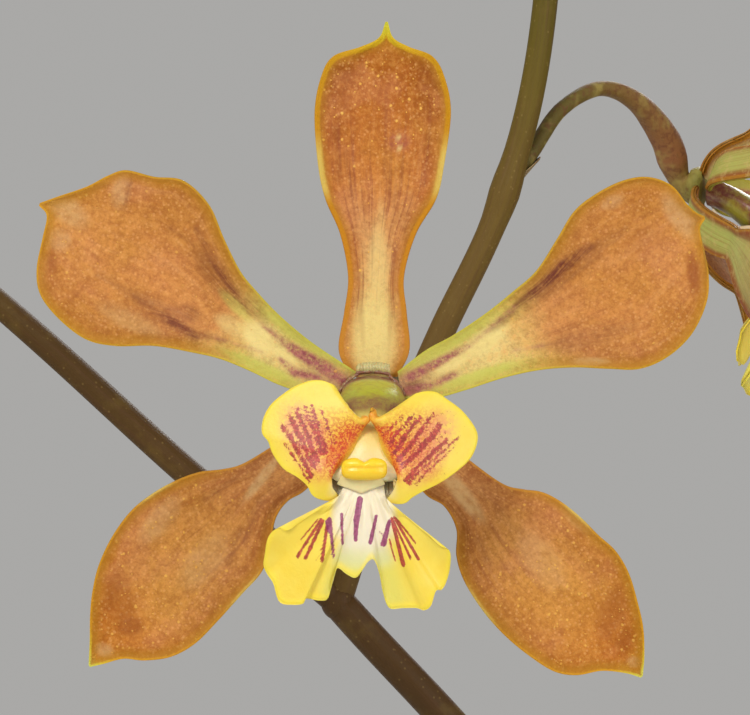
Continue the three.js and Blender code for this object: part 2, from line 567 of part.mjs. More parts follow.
function pedicel(frame, size, branch, share, via) {
  const curve = branchCurve(branch);
  const foot = curve.getPointAt(share);
  const axis = new THREE.Vector3().setFromMatrixColumn(frame, 2).normalize();
  const back = new THREE.Vector3(0, 0, HUB.back - (via ? 4 * GAP : GAP)).applyMatrix4(frame);
  const span = foot.distanceTo(back);
  const sideways = back.clone().sub(foot).setZ(0).normalize();
  const leave = sideways.multiplyScalar(0.8).add(new THREE.Vector3(0, 0, 0.7)).normalize();
  const first = foot.clone().addScaledVector(leave, span * 0.42);
  const second = back.clone().addScaledVector(axis, -span * 0.4);
  const line = via
    ? curveThrough([foot.toArray(), ...via, back.toArray()])
    : new THREE.CubicBezierCurve3(foot, first, second, back);
  return loft(line, via ? 9 : 5, 5, round((t) => {
    const ovary = lerp(PEDICEL_RADIUS, OVARY_RADIUS * size, smooth(t, 0.45, 0.92));
    return ovary * (1 - 0.3 * smooth(t, 0.88, 1)) + BRACT_SWELL * (1 - smooth(t, 0, 0.15));
  }));
}

function bud({ branch, share, way, stem, length }) {
  const foot = branchCurve(branch).getPointAt(share);
  const aim = vec(way).normalize();
  const neck = foot.clone().addScaledVector(aim, stem);
  const nod = aim.clone().add(new THREE.Vector3(0, 0, -0.35)).normalize();
  const tip = neck.clone().addScaledVector(nod, length);
  const line = curveThrough([foot.toArray(), neck.toArray(), tip.toArray()]);
  const start = stem / (stem + length);
  return loft(line, 6, 5, round((t) => {
    const swell = Math.sin(Math.PI * Math.max(t - start, 0) / (1 - start)) ** 0.8;
    return Math.max(PEDICEL_RADIUS * (1 - 0.6 * smooth(t, 0.9, 1)), swell * length * BUD_GIRTH);
  }));
}

// The open sheaths round the lower stalk, by their share of its length.
const SHEATHS = [0.12, 0.27, 0.42];

function sheath(share) {
  const curve = branchCurve("stalk");
  const at = curve.getPointAt(share);
  const way = curve.getTangentAt(share);
  const radius = branchRadius("stalk", share);
  const line = new THREE.CatmullRomCurve3([at, at.clone().addScaledVector(way, 13)]);
  return loft(line, 1, 7, round((t) => radius + 0.75 - 0.35 * t));
}

function stemGeometry(heroFrame, frames) {
  const shapes = Object.entries(BRANCHES).map(([name, { rings }]) =>
    loft(branchCurve(name), rings, name === "stalk" ? 7 : 5, round((t) => branchRadius(name, t))));
  SHEATHS.forEach((share) => shapes.push(sheath(share)));
  shapes.push(pedicel(heroFrame, 1, HERO_ON.branch, HERO_ON.share));
  BLOOMS.forEach(({ size, branch, share, via }, k) => {
    shapes.push(pedicel(frames[k], size, branch, share, via));
  });
  BUDS.forEach((one) => shapes.push(bud(one)));
  return geometryOf(mainBody(union(shapes.map(solidOf))));
}

// Tepal: the surface between its two edges, cupped back at the neck and forward in the blade. close leans it
// forward, as in a flower that is still opening.
function tepalPoint(tepal, close = 0) {
  const left = curveThrough(tepal.left);
  const right = curveThrough(tepal.right);
  const lean = radians(close);
  return (t, u) => {
    const a = left.getPoint(t);
    const b = right.getPoint(t);
    const half = a.distanceTo(b) / 2;
    const cup = lerp(tepal.neckCup, tepal.bladeCup, smooth(t, 0.25, 0.5));
    const p = a.lerp(b, u);
    const edge = (u * 2 - 1) ** 2;
    p.z = tepal.lift + tepal.bow * Math.sin(Math.PI * t) - tepal.reflex * t ** 3;
    p.z += cup * half * edge * smooth(t, 0.04, 0.16);
    p.z += Math.hypot(p.x, p.y) * Math.sin(lean) * smooth(t, 0, 0.2);
    p.x *= lerp(1, Math.cos(lean), smooth(t, 0, 0.2));
    p.y *= lerp(1, Math.cos(lean), smooth(t, 0, 0.2));
    return p;
  };
}

// A lip lobe: the surface that runs from its first line by way of the others to its margin
function lobePoint({ lines, margin }, swell = 0) {
  const edge = curveThrough(margin);
  return (u, t) => {
    const stations = lines.map(([from, to]) => vec(from).lerp(vec(to), u));
    stations.push(edge.getPoint(u));
    const place = t * lines.length;
    const i = Math.min(Math.floor(place), lines.length - 1);
    const p = stations[i].lerp(stations[i + 1], place - i);
    p.z += swell * Math.sin(Math.PI * t);
    return p;
  };
}

function lipSolid() {
  const claw = curveThrough(LIP.claw.path);
  const [narrow, wide] = LIP.claw.halfWidth;
  const strap = sheet((t, u) => {
    const p = claw.getPoint(t);
    p.x += (u * 2 - 1) * lerp(narrow, wide, t);
    return p;
  }, evenly(3), 1, 1.0);
  const wings = [LIP.left_wing, LIP.right_wing].map((wing) =>
    sheet(lobePoint(wing), evenly(8), 3, LIP_THICKNESS));
  const apron = sheet(lobePoint(LIP.apron, APRON_SWELL), evenly(22), 2, LIP_THICKNESS);
  return union([strap, ...wings, apron].map(outward));
}

// The lip of a flower further off: one fan from under the column, whose margin runs round all three lobes
const FAR_LIP = {
  root: [[-0.1, -1.2, 2.6], [-0.7, -8.0, 7.0]],
  margin: [[-2.5, -1.9, 6.9], [-5.0, 0.2, 6.4], [-8.0, -3.0, 6.6], [-3.8, -8.3, 8.2], [-7.9, -12.4, 8.4],
    [-5.6, -16.4, 8.2], [-0.6, -13.6, 9.4], [2.6, -16.6, 8.3], [5.8, -13.2, 8.3], [2.2, -8.8, 8.2],
    [7.5, -4.2, 6.6], [4.9, -0.6, 6.4], [2.3, -1.8, 6.9]],
};

function farLipSheet() {
  const [foot, throat] = FAR_LIP.root.map(vec);
  const margin = curveThrough(FAR_LIP.margin);
  const point = (t, u) => foot.clone().lerp(throat, Math.sin(Math.PI * t)).lerp(margin.getPoint(t), u);
  return outward(sheet(point, evenly(12), 1, LIP_THICKNESS));
}

// A solid whose faces point out, whichever way its surface was sampled.
function outward(geometry) {
  const solid = solidOf(geometry);
  if (solid.volume() > 0) return solid;
  const turned = geometry.clone();
  const index = turned.index.array;
  for (let i = 0; i < index.length; i += 3) [index[i + 1], index[i + 2]] = [index[i + 2], index[i + 1]];
  return solidOf(turned);
}

function columnSolid(fine, grow = 0) {
  const arch = loft(curveThrough(drawnOut(COLUMN.path, grow)), fine ? 7 : 3, fine ? 8 : 5, (t, angle) => {
    const a = along(COLUMN.halfWidth, t) + grow;
    const b = along(COLUMN.halfDepth, t) + grow;
    return [b * Math.cos(angle), a * Math.sin(angle)];
  }, new THREE.Vector3(1, 0, 0));
  return outward(arch);
}

function hubSolid(grow = 0) {
  return outward(upright(HUB.radius + grow, HUB.front - HUB.back + 2 * grow, 10, 0, 0, HUB.back - grow));
}

// The foremost flower, with a node for each of its pieces
function addHero(frame) {
  const flower = new THREE.Group();
  flower.applyMatrix4(frame);
  plant.add(flower);
  const hubRoom = hubSolid(GAP);
  for (const [name, tepal] of Object.entries(TEPALS)) {
    const piece = outward(sheet(tepalPoint(tepal), evenly(11), 4, TEPAL_THICKNESS));
    node(`hero_${name}`, geometryOf(mainBody(piece.subtract(hubRoom))), TEPAL, flower);
  }
  const column = columnSolid(true).add(hubSolid());
  node("hero_column", geometryOf(column), COLUMN_CREAM, flower);
  const [length, width, depth] = ANTHER.size;
  const cap = new THREE.SphereGeometry(0.5, 8, 5);
  cap.scale(length, width, depth);
  cap.translate(...ANTHER.at);
  const anther = mainBody(outward(cap).subtract(columnSolid(true, GAP)));
  node("hero_anther_cap", geometryOf(anther), ANTHER_YELLOW, flower);
  const lip = lipSolid().subtract(columnSolid(true, GAP)).subtract(hubRoom);
  node("hero_lip", geometryOf(mainBody(lip)), LIP_YELLOW, flower);
}

// Every other flower: its tepals joined at the middle, and its lip joined to its column
function addBloom(name, frame, close) {
  const flower = new THREE.Group();
  flower.applyMatrix4(frame);
  plant.add(flower);
  const tepals = Object.values(TEPALS).map((tepal) =>
    outward(sheet(tepalPoint(tepal, close), FAR_STOPS, 2, TEPAL_THICKNESS)));
  const hubDisc = outward(upright(3.2, 2.0, 6, 0, 0, HUB.back));
  const star = union([hubDisc, ...tepals]);
  node(`${name}_tepals`, geometryOf(mainBody(star)), TEPAL, flower);
  const middle = farLipSheet().add(columnSolid(false));
  node(`${name}_lip`, geometryOf(mainBody(middle.subtract(tepalRoom()))), LIP_YELLOW, flower);
}

// The room that the joined tepals take up in the middle of a flower, in front of which the lip begins.
const tepalRoom = () => outward(upright(6.5, 4, 10, 0, 0, -2.8));

const GOLDEN_ANGLE = Math.PI * (3 - Math.sqrt(5));

// Bark: a plug that fills the pot, with chips on top, kept off the bulbs and the roots
function mediumSolid() {
  const random = stream(MEDIUM.seed);
  const foot = POT.floor + GAP;
  const plugProfile = [
    [0, foot], [innerRadius(foot) - GAP, foot], [innerRadius(MEDIUM.top) - GAP, MEDIUM.top], [0, MEDIUM.top],
  ].map(([r, z]) => new THREE.Vector2(r, z));
  const plug = new THREE.LatheGeometry(plugProfile, POT.sides);
  plug.rotateX(Math.PI / 2);
  const chips = [];
  for (let k = 0; k < MEDIUM.chips; k++) {
    const reach = innerRadius(MEDIUM.top) - 8;
    const r = reach * Math.sqrt((k + 0.6) / MEDIUM.chips);
    const angle = k * GOLDEN_ANGLE;
    const x = r * Math.cos(angle);
    const y = r * Math.sin(angle);
    if (BULBS.some((bulb) => Math.hypot(x - bulb.x, y - bulb.y) < bulb.radius + 2)) continue;
    const chip = new THREE.BoxGeometry(
      MEDIUM.chipLength * lerp(0.6, 1.1, random()), MEDIUM.chipWidth * lerp(0.7, 1.2, random()),
      MEDIUM.chipHeight * lerp(0.7, 1.1, random()),
    );
    chip.rotateX(lerp(-0.35, 0.35, random()));
    chip.rotateY(lerp(-0.35, 0.35, random()));
    chip.rotateZ(random() * Math.PI);
    chip.translate(x, y, MEDIUM.top + lerp(0.2, 1.8, random()));
    chips.push(chip);
  }
  const { buried, hanging } = rhizomeParts(GAP);
  const level = MEDIUM.top + GAP + RHIZOME_RADIUS;
  const bed = curveThrough(RHIZOME_RUN.map(([x, y]) => [x, y, level]));
  const spurBed = curveThrough(SPUR.map(([x, y]) => [x, y, level]));
  const cleared = [
    loft(bed, 8, 5, round(RHIZOME_RADIUS + 1.2)),
    loft(spurBed, 2, 5, round(RHIZOME_RADIUS + 1.2)),
    ...BULBS.map((bulb) => upright(bulb.radius + 1.2, 30, 9, bulb.x, bulb.y, BULB_FOOT - GAP)),
    ...buried,
    ...hanging,
  ];
  const inside = solidOf(upright(innerRadius(MEDIUM.top) - 1.2, 40, 24, 0, 0, MEDIUM.top - 12));
  const top = union(chips.map(solidOf)).intersect(inside);
  const whole = union([solidOf(plug), top]).subtract(union(cleared.map(outward)));
  return mainBody(whole);
}

function rhizomeSolid() {
  const { stems, buried, hanging } = rhizomeParts(0);
  const room = union(BULBS.map((bulb) => outward(bulbShape(bulb, GAP))));
  return mainBody(union([...stems, ...buried, ...hanging].map(outward)).subtract(room));
}

// The plant
const heroFrame = flowerFrame({ at: HERO_AT, facing: [0, -1, 0], size: 1, turn: 0 });
const bloomFrames = BLOOMS.map(flowerFrame);

node("pot", potGeometry(), CLAY);
node("medium", geometryOf(mediumSolid()), BARK);
node("rhizome", geometryOf(rhizomeSolid()), ROOT);
BULBS.forEach((bulb) => node(bulb.name, geometryOf(outward(bulbShape(bulb))), BULB));
LEAVES.forEach((leaf, k) => node(`leaf_${k + 1}`, geometryOf(outward(leafGeometry(leaf))), LEAF_GREEN));
node("flower_stem", stemGeometry(heroFrame, bloomFrames), STEM);
addHero(heroFrame);
BLOOMS.forEach((bloom, k) => addBloom(`bloom_${k + 1}`, bloomFrames[k], bloom.close));

export default plant;
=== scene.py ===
import math

import bpy
import numpy as np
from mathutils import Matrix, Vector


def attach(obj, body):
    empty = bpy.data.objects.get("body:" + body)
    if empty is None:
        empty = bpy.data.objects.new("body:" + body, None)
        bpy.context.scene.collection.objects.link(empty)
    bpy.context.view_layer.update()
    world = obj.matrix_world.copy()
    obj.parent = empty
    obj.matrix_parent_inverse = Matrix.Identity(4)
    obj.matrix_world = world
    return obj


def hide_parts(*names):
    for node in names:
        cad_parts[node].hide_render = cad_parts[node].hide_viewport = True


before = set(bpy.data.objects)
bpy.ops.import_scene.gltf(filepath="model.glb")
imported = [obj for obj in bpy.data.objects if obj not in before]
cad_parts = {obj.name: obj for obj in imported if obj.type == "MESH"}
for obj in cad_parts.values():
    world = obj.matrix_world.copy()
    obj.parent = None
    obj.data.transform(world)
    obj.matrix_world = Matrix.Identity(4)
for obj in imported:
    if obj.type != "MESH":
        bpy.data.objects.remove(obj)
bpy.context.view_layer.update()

MM = 0.001
TAU = 2 * math.pi

# ---------------------------------------------------------------- dimensions, as in the solids (millimetres)
GAP = 0.3
POT = dict(height=112, rim=65, band=20, step=3.5, foot=45, wall=5, floor=6, holes=3, hole_r=6, circle=26)
MEDIUM_TOP = 95
BULB_FOOT = 97
BULBS = [
    dict(x=-38, y=4, h=50, r=11.5, lean=(-7, 2)),
    dict(x=-14, y=16, h=60, r=13.5, lean=(-4, 5)),
    dict(x=-11, y=-17, h=58, r=13, lean=(-4, -5)),
    dict(x=12, y=0, h=72, r=15, lean=(1, 0)),
    dict(x=40, y=6, h=56, r=13, lean=(7, 3)),
]
NECK_RADIUS = 4.2
BELLY = 0.4
LEAVES = [
    (0, 172, 150, 24, 62, 62), (1, 125, 232, 28, 72, 66), (1, 305, 84, 16, 86, 8), (2, 230, 226, 28, 66, 72),
    (2, 50, 76, 15, 86, 8), (3, 184, 262, 31, 74, 62), (3, 4, 270, 31, 72, 66), (4, 286, 220, 28, 68, 72),
    (4, 106, 206, 27, 74, 56),
]
WRAP_RADIUS, WRAP_REACH, KEEL, LEAF_THICK = 3.2, 1.3, 0.9, 1.3
HERO_AT = (-30, -40, 500)
FORK = (-32.8, -8, 482.2)
NODE = (-19.2, -8, 515.6)
BRANCHES = {
    "stalk": dict(p=[(13, 0, 169.3), (14, 1, 230), (17, 4, 300), (14, 3, 370), (2, -3, 432), (-17, -7, 463.8), FORK],
                  r=(2.0, 1.35)),
    "rachis": dict(p=[FORK, (-29.6, -8, 492), (-24.5, -8, 503.8), NODE, (-15.9, -8, 531.1), (-14.5, -6, 560),
                      (-9, -4, 592), (-11, -2, 622), (-8, -3, 648)], r=(1.15, 0.7)),
    "left": dict(p=[FORK, (-46, -8, 493.5), (-60.3, -8, 506.3), (-84, -5, 526), (-104, 2, 556), (-114, 8, 588)],
                 r=(1.25, 0.6)),
    "right": dict(p=[(13, 2.4, 380), (30, 8, 403), (54, 12, 422), (80, 12, 440), (103, 8, 466)], r=(1.1, 0.6)),
    "low": dict(p=[(16, 4, 335), (-4, -8, 362), (-28, -19, 384), (-52, -27, 408), (-68, -28, 438)], r=(1.1, 0.6)),
    "back": dict(p=[(4, -2, 424), (14, 22, 446), (24, 48, 468), (27, 66, 500)], r=(1.0, 0.6)),
}
NODE_SHARE = 0.2125
BLOOMS = [
    dict(at=(-1.75, 4.8, 516.4), facing=(0.93, -0.25, -0.27), on="rachis", share=NODE_SHARE, size=0.95, turn=-16,
         close=32, via=[(-17.1, -7, 518.6), (-14.6, -5, 522.3), (-11.2, -2, 524.3), (-7.9, 1, 523.3),
                        (-5.3, 3.7, 520.3)]),
    dict(at=(-92, -34, 509), facing=(-0.3, -0.95, 0.08), on="left", share=0.47, size=0.96, turn=6),
    dict(at=(-118, 30, 530), facing=(-0.66, 0.72, 0.05), on="left", share=0.6, size=0.98, turn=4),
    dict(at=(15, -32, 560), facing=(0.4, -0.91, 0.05), on="rachis", share=0.55, size=0.97, turn=-6),
    dict(at=(-43, -22, 588), facing=(-0.42, -0.88, 0.15), on="rachis", share=0.7, size=0.93, turn=8),
    dict(at=(18, 22, 600), facing=(0.72, 0.66, 0.12), on="rachis", share=0.76, size=0.9, turn=0),
    dict(at=(50, -24, 396), facing=(0.15, -0.98, 0.0), on="right", share=0.36, size=1.0, turn=5),
    dict(at=(103, -18, 422), facing=(0.62, -0.78, 0.05), on="right", share=0.66, size=0.96, turn=-7),
    dict(at=(-54, -60, 396), facing=(-0.4, -0.91, 0.0), on="low", share=0.6, size=0.98, turn=-4),
    dict(at=(56, 76, 472), facing=(0.66, 0.74, 0.05), on="back", share=0.72, size=0.95, turn=0),
]
BUDS = [
    ("rachis", 0.86, (-0.7, -0.3, 0.65), 15, 13), ("rachis", 0.93, (0.6, -0.5, 0.65), 12, 11),
    ("rachis", 1, (0.15, 0.1, 1), 7, 8), ("left", 0.88, (-0.8, 0.1, 0.55), 13, 12),
    ("left", 1, (-0.1, 0.1, 1), 8, 9), ("right", 0.88, (0.75, 0.1, 0.6), 13, 12),
    ("right", 1, (0.3, -0.1, 1), 8, 9), ("low", 0.88, (-0.75, 0.2, 0.6), 12, 12),
    ("low", 1, (-0.2, -0.1, 1), 8, 9), ("back", 1, (0.1, 0.3, 1), 8, 11),
]
SHEATHS = [0.12, 0.27, 0.42]
HUB_BACK = -1.3
RHIZOME_RUN = [(-44, 3), (-38, 4), (-27, 10), (-14, 12), (-2, 3), (12, 0), (26, 2), (40, 6), (47, 8)]
SPUR = [(0, 2), (-11, -16)]
BURIED_ROOTS = [(-27, -6, 215), (25, -9, 300), (2, 18, 70), (-29, 20, 130)]
HANGING_ROOTS = [
    ((-1, 2, 98.8), (1.5, -12, 101), 277, 54, 6),
    ((26, 2, 98.8), (31, -10, 103), 318, 38, -8),
]

# Outlines of the tepals in the flower's own frame, as pairs of edge points from foot to tip.
TEPALS = {
    "dorsal_sepal": dict(
        left=[(-1.6, 0.6), (-2.5, 2.6), (-2.1, 5.4), (-1.8, 8.1), (-2.4, 11.3), (-3.5, 13.9), (-4.05, 16.5),
              (-4.3, 20.4), (-3.8, 23.1), (-2.9, 24.6), (-0.9, 25.3), (0.5, 26.0), (1.0, 27.2)],
        right=[(1.9, 0.6), (2.8, 2.6), (2.6, 5.4), (2.4, 8.1), (3.3, 11.3), (4.8, 13.9), (5.4, 16.5),
               (5.9, 20.4), (5.4, 23.1), (4.5, 24.6), (2.8, 25.3), (1.6, 26.0), (1.18, 27.2)],
        lift=-0.55, bow=-0.5, reflex=1.2, neck=-0.2, blade=0.12),
    "left_petal": dict(
        left=[(-2.0, -0.9), (-4.6, -0.7), (-6.9, 0.0), (-9.0, 1.0), (-11.2, 1.9), (-13.3, 2.4), (-16.2, 2.9),
              (-19.1, 2.9), (-21.3, 3.4), (-23.3, 4.9), (-24.7, 6.7), (-25.0, 8.6), (-24.6, 10.9), (-24.3, 12.6),
              (-24.9, 13.4)],
        right=[(-1.2, 1.0), (-3.8, 2.7), (-5.4, 3.9), (-7.1, 5.4), (-8.6, 7.0), (-9.8, 8.5), (-11.0, 10.9),
               (-12.1, 13.4), (-14.0, 15.2), (-16.2, 15.5), (-18.3, 16.0), (-19.7, 15.6), (-21.3, 14.8),
               (-23.4, 14.1), (-24.85, 13.6)],
        lift=0.55, bow=0.5, reflex=1.6, neck=0.1, blade=0.06),
    "right_petal": dict(
        left=[(1.9, 1.0), (4.0, 2.6), (6.0, 3.7), (8.4, 5.3), (10.4, 6.9), (12.2, 8.5), (13.7, 10.8), (15.0, 12.9),
              (16.6, 14.2), (18.6, 15.2), (20.5, 15.5), (22.3, 14.9), (23.5, 13.5), (24.2, 12.9), (24.85, 12.6)],
        right=[(2.2, -1.0), (4.6, -1.0), (6.9, -0.4), (9.7, 0.5), (12.4, 1.1), (15.0, 1.3), (17.6, 1.2),
               (19.9, 1.2), (22.0, 2.1), (23.8, 3.8), (24.9, 6.1), (25.1, 8.1), (24.8, 10.0), (24.5, 11.6),
               (24.9, 12.4)],
        lift=0.55, bow=0.5, reflex=1.6, neck=0.1, blade=0.06),
    "left_sepal": dict(
        left=[(-0.5, -1.8), (-2.5, -5.2), (-4.9, -7.8), (-6.3, -8.7), (-7.2, -10.0), (-7.6, -12.0), (-8.2, -13.9),
              (-9.7, -15.6), (-11.5, -17.6), (-13.2, -19.3), (-15.0, -20.3), (-17.0, -20.6), (-18.6, -20.5),
              (-20.1, -20.9), (-21.15, -21.15)],
        right=[(-1.8, -0.6), (-4.4, -2.6), (-7.5, -4.6), (-9.7, -5.9), (-11.2, -6.3), (-12.9, -6.5),
               (-14.6, -7.1), (-16.4, -8.1), (-18.0, -9.4), (-19.4, -11.3), (-20.4, -13.4), (-20.9, -15.4),
               (-21.1, -17.2), (-21.15, -19.2), (-21.25, -21.0)],
        lift=-0.55, bow=0.2, reflex=1.4, neck=-0.2, blade=0.12),
    "right_sepal": dict(
        left=[(1.8, -0.6), (4.4, -3.2), (7.4, -5.7), (9.8, -7.4), (11.3, -7.8), (12.7, -8.0), (14.1, -8.7),
              (15.6, -9.9), (16.9, -11.2), (18.2, -12.4), (19.2, -14.1), (19.9, -16.4), (20.3, -18.2),
              (20.4, -20.2), (20.3, -21.8)],
        right=[(0.5, -1.8), (2.0, -5.4), (3.9, -8.1), (5.4, -9.1), (6.3, -10.8), (6.3, -12.8), (6.9, -14.7),
               (8.3, -16.9), (9.9, -18.7), (11.7, -20.2), (13.6, -21.4), (15.3, -21.7), (17.2, -21.4),
               (19.0, -21.6), (20.15, -21.95)],
        lift=-0.55, bow=0.2, reflex=1.4, neck=-0.2, blade=0.12),
}
TEPAL_THICK = 0.62
FRONT_GRID, NEAR_GRID, FAR_GRID = (130, 67), (84, 27), (38, 13)
LIP_DETAIL, LIP_DETAIL_FAR = 0.74, 0.22

# The lip's lobes: lines from its root outwards, and the margin of each.
LEFT_WING = dict(
    lines=[((-0.9, -3.4, 2.9), (-2.3, -8.0, 8.3)), ((-2.4, -2.8, 6.0), (-3.8, -7.4, 8.2)),
           ((-0.4, -2.4, 8.8), (-3.4, -6.9, 9.4))],
    margin=[(-0.3, -2.3, 8.9), (-1.15, -2.6, 8.9), (-1.85, -2, 8.8), (-2.5, -1, 8.6), (-2.95, -0.05, 8.3),
            (-3.45, 0.3, 8.1), (-4.4, 0.35, 7.9), (-5.45, 0, 7.7), (-6.35, -0.55, 7.6), (-7.35, -1.4, 7.6),
            (-7.9, -2.4, 7.7), (-8, -3.45, 7.9), (-7.55, -4.05, 8.1), (-7.2, -4.95, 8.3), (-6.45, -6, 8.7),
            (-5.35, -6.65, 9.1), (-4.65, -7.25, 9.3), (-4.3, -7.9, 9.3), (-3.7, -8.2, 9.2), (-2.95, -8.25, 9),
            (-2.5, -7.9, 8.9)])
RIGHT_WING = dict(
    lines=[((0.8, -3.4, 2.9), (0.9, -8.2, 8.3)), ((2.1, -2.8, 6.0), (2.6, -7.4, 8.2)),
           ((0.1, -2.2, 8.8), (2.3, -6.9, 9.4))],
    margin=[(0, -1.6, 8.9), (0.3, -2.5, 8.9), (0.9, -2.35, 8.8), (1.85, -1.75, 8.7), (2.95, -0.95, 8.4),
            (3.65, -0.5, 8.2), (4.65, -0.5, 8), (5.5, -1.05, 7.8), (6.6, -1.9, 7.7), (7.55, -3.2, 7.7),
            (7.65, -4.15, 7.8), (7.2, -5.25, 8.1), (6.45, -6, 8.5), (5.1, -6.95, 8.9), (3.65, -7.65, 9.2),
            (2.85, -8.1, 9.3), (2.35, -8.5, 9.3), (1.6, -8.5, 9.1), (1.05, -8.25, 8.9)])
APRON = dict(
    lines=[((-1.9, -6.6, 8.0), (0.8, -6.7, 8.0)), ((-2.2, -7.6, 8.75), (0.95, -7.8, 8.75))],
    margin=[(-2.5, -8.05, 8.9), (-3, -8.85, 9), (-3.8, -9.7, 9.2), (-5, -9.85, 9.3), (-6.2, -10.55, 9.3),
            (-6.7, -10.35, 9.2), (-7.2, -10.55, 9.1), (-7.6, -11.15, 9), (-7.8, -12.25, 8.8), (-7.9, -13.1, 8.7),
            (-7.6, -13.8, 8.6), (-7.2, -14.4, 8.6), (-6.75, -15.75, 8.3), (-5.75, -15.95, 8.5), (-5, -15.85, 8.8),
            (-4.8, -15.5, 8.4), (-3.8, -15.65, 8.7), (-3.2, -15.5, 8.6), (-2.95, -14.35, 9), (-2.6, -13.4, 9.2),
            (-2.35, -13.3, 9.3), (-1.9, -13.65, 9.3), (-1.2, -13.95, 9.3), (-0.7, -13.4, 9.4), (-0.3, -12.8, 9.5),
            (0.05, -12.6, 9.5), (0.3, -12.95, 9.4), (0.55, -13.75, 9.2), (0.8, -15.05, 8.8), (1.25, -16.2, 8.4),
            (2.25, -16.2, 8.7), (3.25, -16.2, 8.3), (3.8, -16.35, 8.4), (4.3, -16, 8.6), (4.65, -14.95, 8.8),
            (5.1, -14.85, 8.6), (5.45, -14.2, 8.7), (5.7, -13.1, 8.9), (5.65, -12, 9.1), (4.95, -11.65, 9.3),
            (4, -10.75, 9.4), (2.95, -10.25, 9.3), (1.95, -10, 9.2), (1.45, -9.2, 9.1), (1, -8.45, 8.9)])
COLUMN_PATH = [(0, -0.4, 0.4), (0, -0.5, 1.6), (0, -0.9, 3.2), (-0.15, -2.05, 5.6), (-0.35, -4.3, 7.7),
               (-0.55, -6.9, 8.9)]
COLUMN_WIDE = [2.2, 2.3, 2.6, 1.9, 2.1, 2.85]
COLUMN_DEEP = [1.1, 1.15, 1.3, 1.15, 1.1, 0.7]


# ---------------------------------------------------------------- curves and fields
def smooth(x, low, high):
    t = np.clip((np.asarray(x, float) - low) / (high - low), 0, 1)
    return t * t * (3 - 2 * t)


def lerp(a, b, t):
    return a + (b - a) * t


def unit(v):
    v = np.asarray(v, float)
    return v / np.maximum(np.linalg.norm(v, axis=-1, keepdims=True), 1e-12)


def spline(points, t):
    """The curve through the points, at t from 0 to 1 along their list."""
    p = np.asarray(points, float)
    n = len(p)
    e = np.vstack([2 * p[0] - p[1], p, 2 * p[-1] - p[-2]])
    x = np.clip(np.asarray(t, float), 0, 1) * (n - 1)
    i = np.minimum(x.astype(int), n - 2)
    w = (x - i)[..., None]
    p0, p1, p2, p3 = e[i], e[i + 1], e[i + 2], e[i + 3]
    a, b = 0.5 * (p2 - p0), 0.5 * (p3 - p1)
    return p1 + w * (a + w * (3 * (p2 - p1) - 2 * a - b + w * (2 * (p1 - p2) + a + b)))


def evened(fn):
    """The same curve by its length: fn takes t, and so does what comes back."""
    dense = fn(np.linspace(0, 1, 801))
    run = np.concatenate([[0], np.cumsum(np.linalg.norm(np.diff(dense, axis=0), axis=1))])

    def at(s):
        s = np.clip(np.asarray(s, float), 0, 1) * run[-1]
        return np.stack([np.interp(s, run, dense[:, k]) for k in range(3)], -1)

    at.length = run[-1]
    return at


def around(sides):
    return np.arange(sides) / sides * TAU


def branch(name):
    return evened(lambda t: spline(BRANCHES[name]["p"], t))


def hashed(*keys):
    return np.random.default_rng([int(k) & 0xFFFF for k in keys])


def waves(x, y, seed, octaves=4, scale=1.0):
    """A smooth field over two directions, about -1 to 1."""
    r = hashed(seed, 77)
    total = np.zeros(np.broadcast(x, y).shape)
    for k in range(octaves):
        f = scale * 1.9 ** k
        for _ in range(3):
            a, p = r.uniform(0, TAU), r.uniform(0, TAU)
            total = total + np.sin(f * (np.cos(a) * x + np.sin(a) * y) + p) / 1.7 ** k
    return total / 4


# ---------------------------------------------------------------- meshes
def grid_faces(rows, cols, start=0, flip=False, wrap=False):
    i, j = np.meshgrid(np.arange(rows - 1), np.arange(cols if wrap else cols - 1), indexing="ij")
    k = (j + 1) % cols
    q = np.stack([i * cols + j, i * cols + k, (i + 1) * cols + k, (i + 1) * cols + j], -1).reshape(-1, 4)
    return (q[:, ::-1] if flip else q) + start


class Body:
    """Vertices, faces and fields that are gathered into one piece."""

    def __init__(self):
        self.v, self.f, self.m, self.fields, self.count = [], [], [], {}, 0

    def add(self, verts, faces, material=0, **fields):
        verts = np.asarray(verts, float).reshape(-1, 3)
        self.v.append(verts)
        for face_set in faces:
            face_set = np.asarray(face_set)
            self.f.append(face_set + self.count)
            self.m.append(np.full(len(face_set), material))
        for name, value in fields.items():
            self.fields.setdefault(name, []).append((self.count, np.asarray(value, float)))
        self.count += len(verts)

    def build(self, name, materials, node=None, place=None, shade=True):
        verts = np.concatenate(self.v)
        if place is not None:
            verts = verts @ place[:3, :3].T + place[:3, 3]
        me = bpy.data.meshes.new(name)
        faces = [tuple(int(x) for x in f) for part in self.f for f in part]
        me.from_pydata((verts * MM).tolist(), [], faces)
        for field, parts in self.fields.items():
            data = np.zeros(len(verts), np.float32)
            for start, value in parts:
                data[start:start + len(value)] = value
            me.attributes.new(field, "FLOAT", "POINT").data.foreach_set("value", data)
        for material in materials:
            me.materials.append(material)
        me.polygons.foreach_set("material_index", np.concatenate(self.m).astype(np.int32))
        me.polygons.foreach_set("use_smooth", np.full(len(me.polygons), shade))
        me.validate()
        me.update()
        ob = bpy.data.objects.new(name, me)
        bpy.context.scene.collection.objects.link(ob)
        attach(ob, "root")
        if node:
            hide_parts(node)
        return ob


def normals_of(grid):
    a = np.gradient(grid, axis=0)
    b = np.gradient(grid, axis=1)
    return unit(np.cross(b, a))


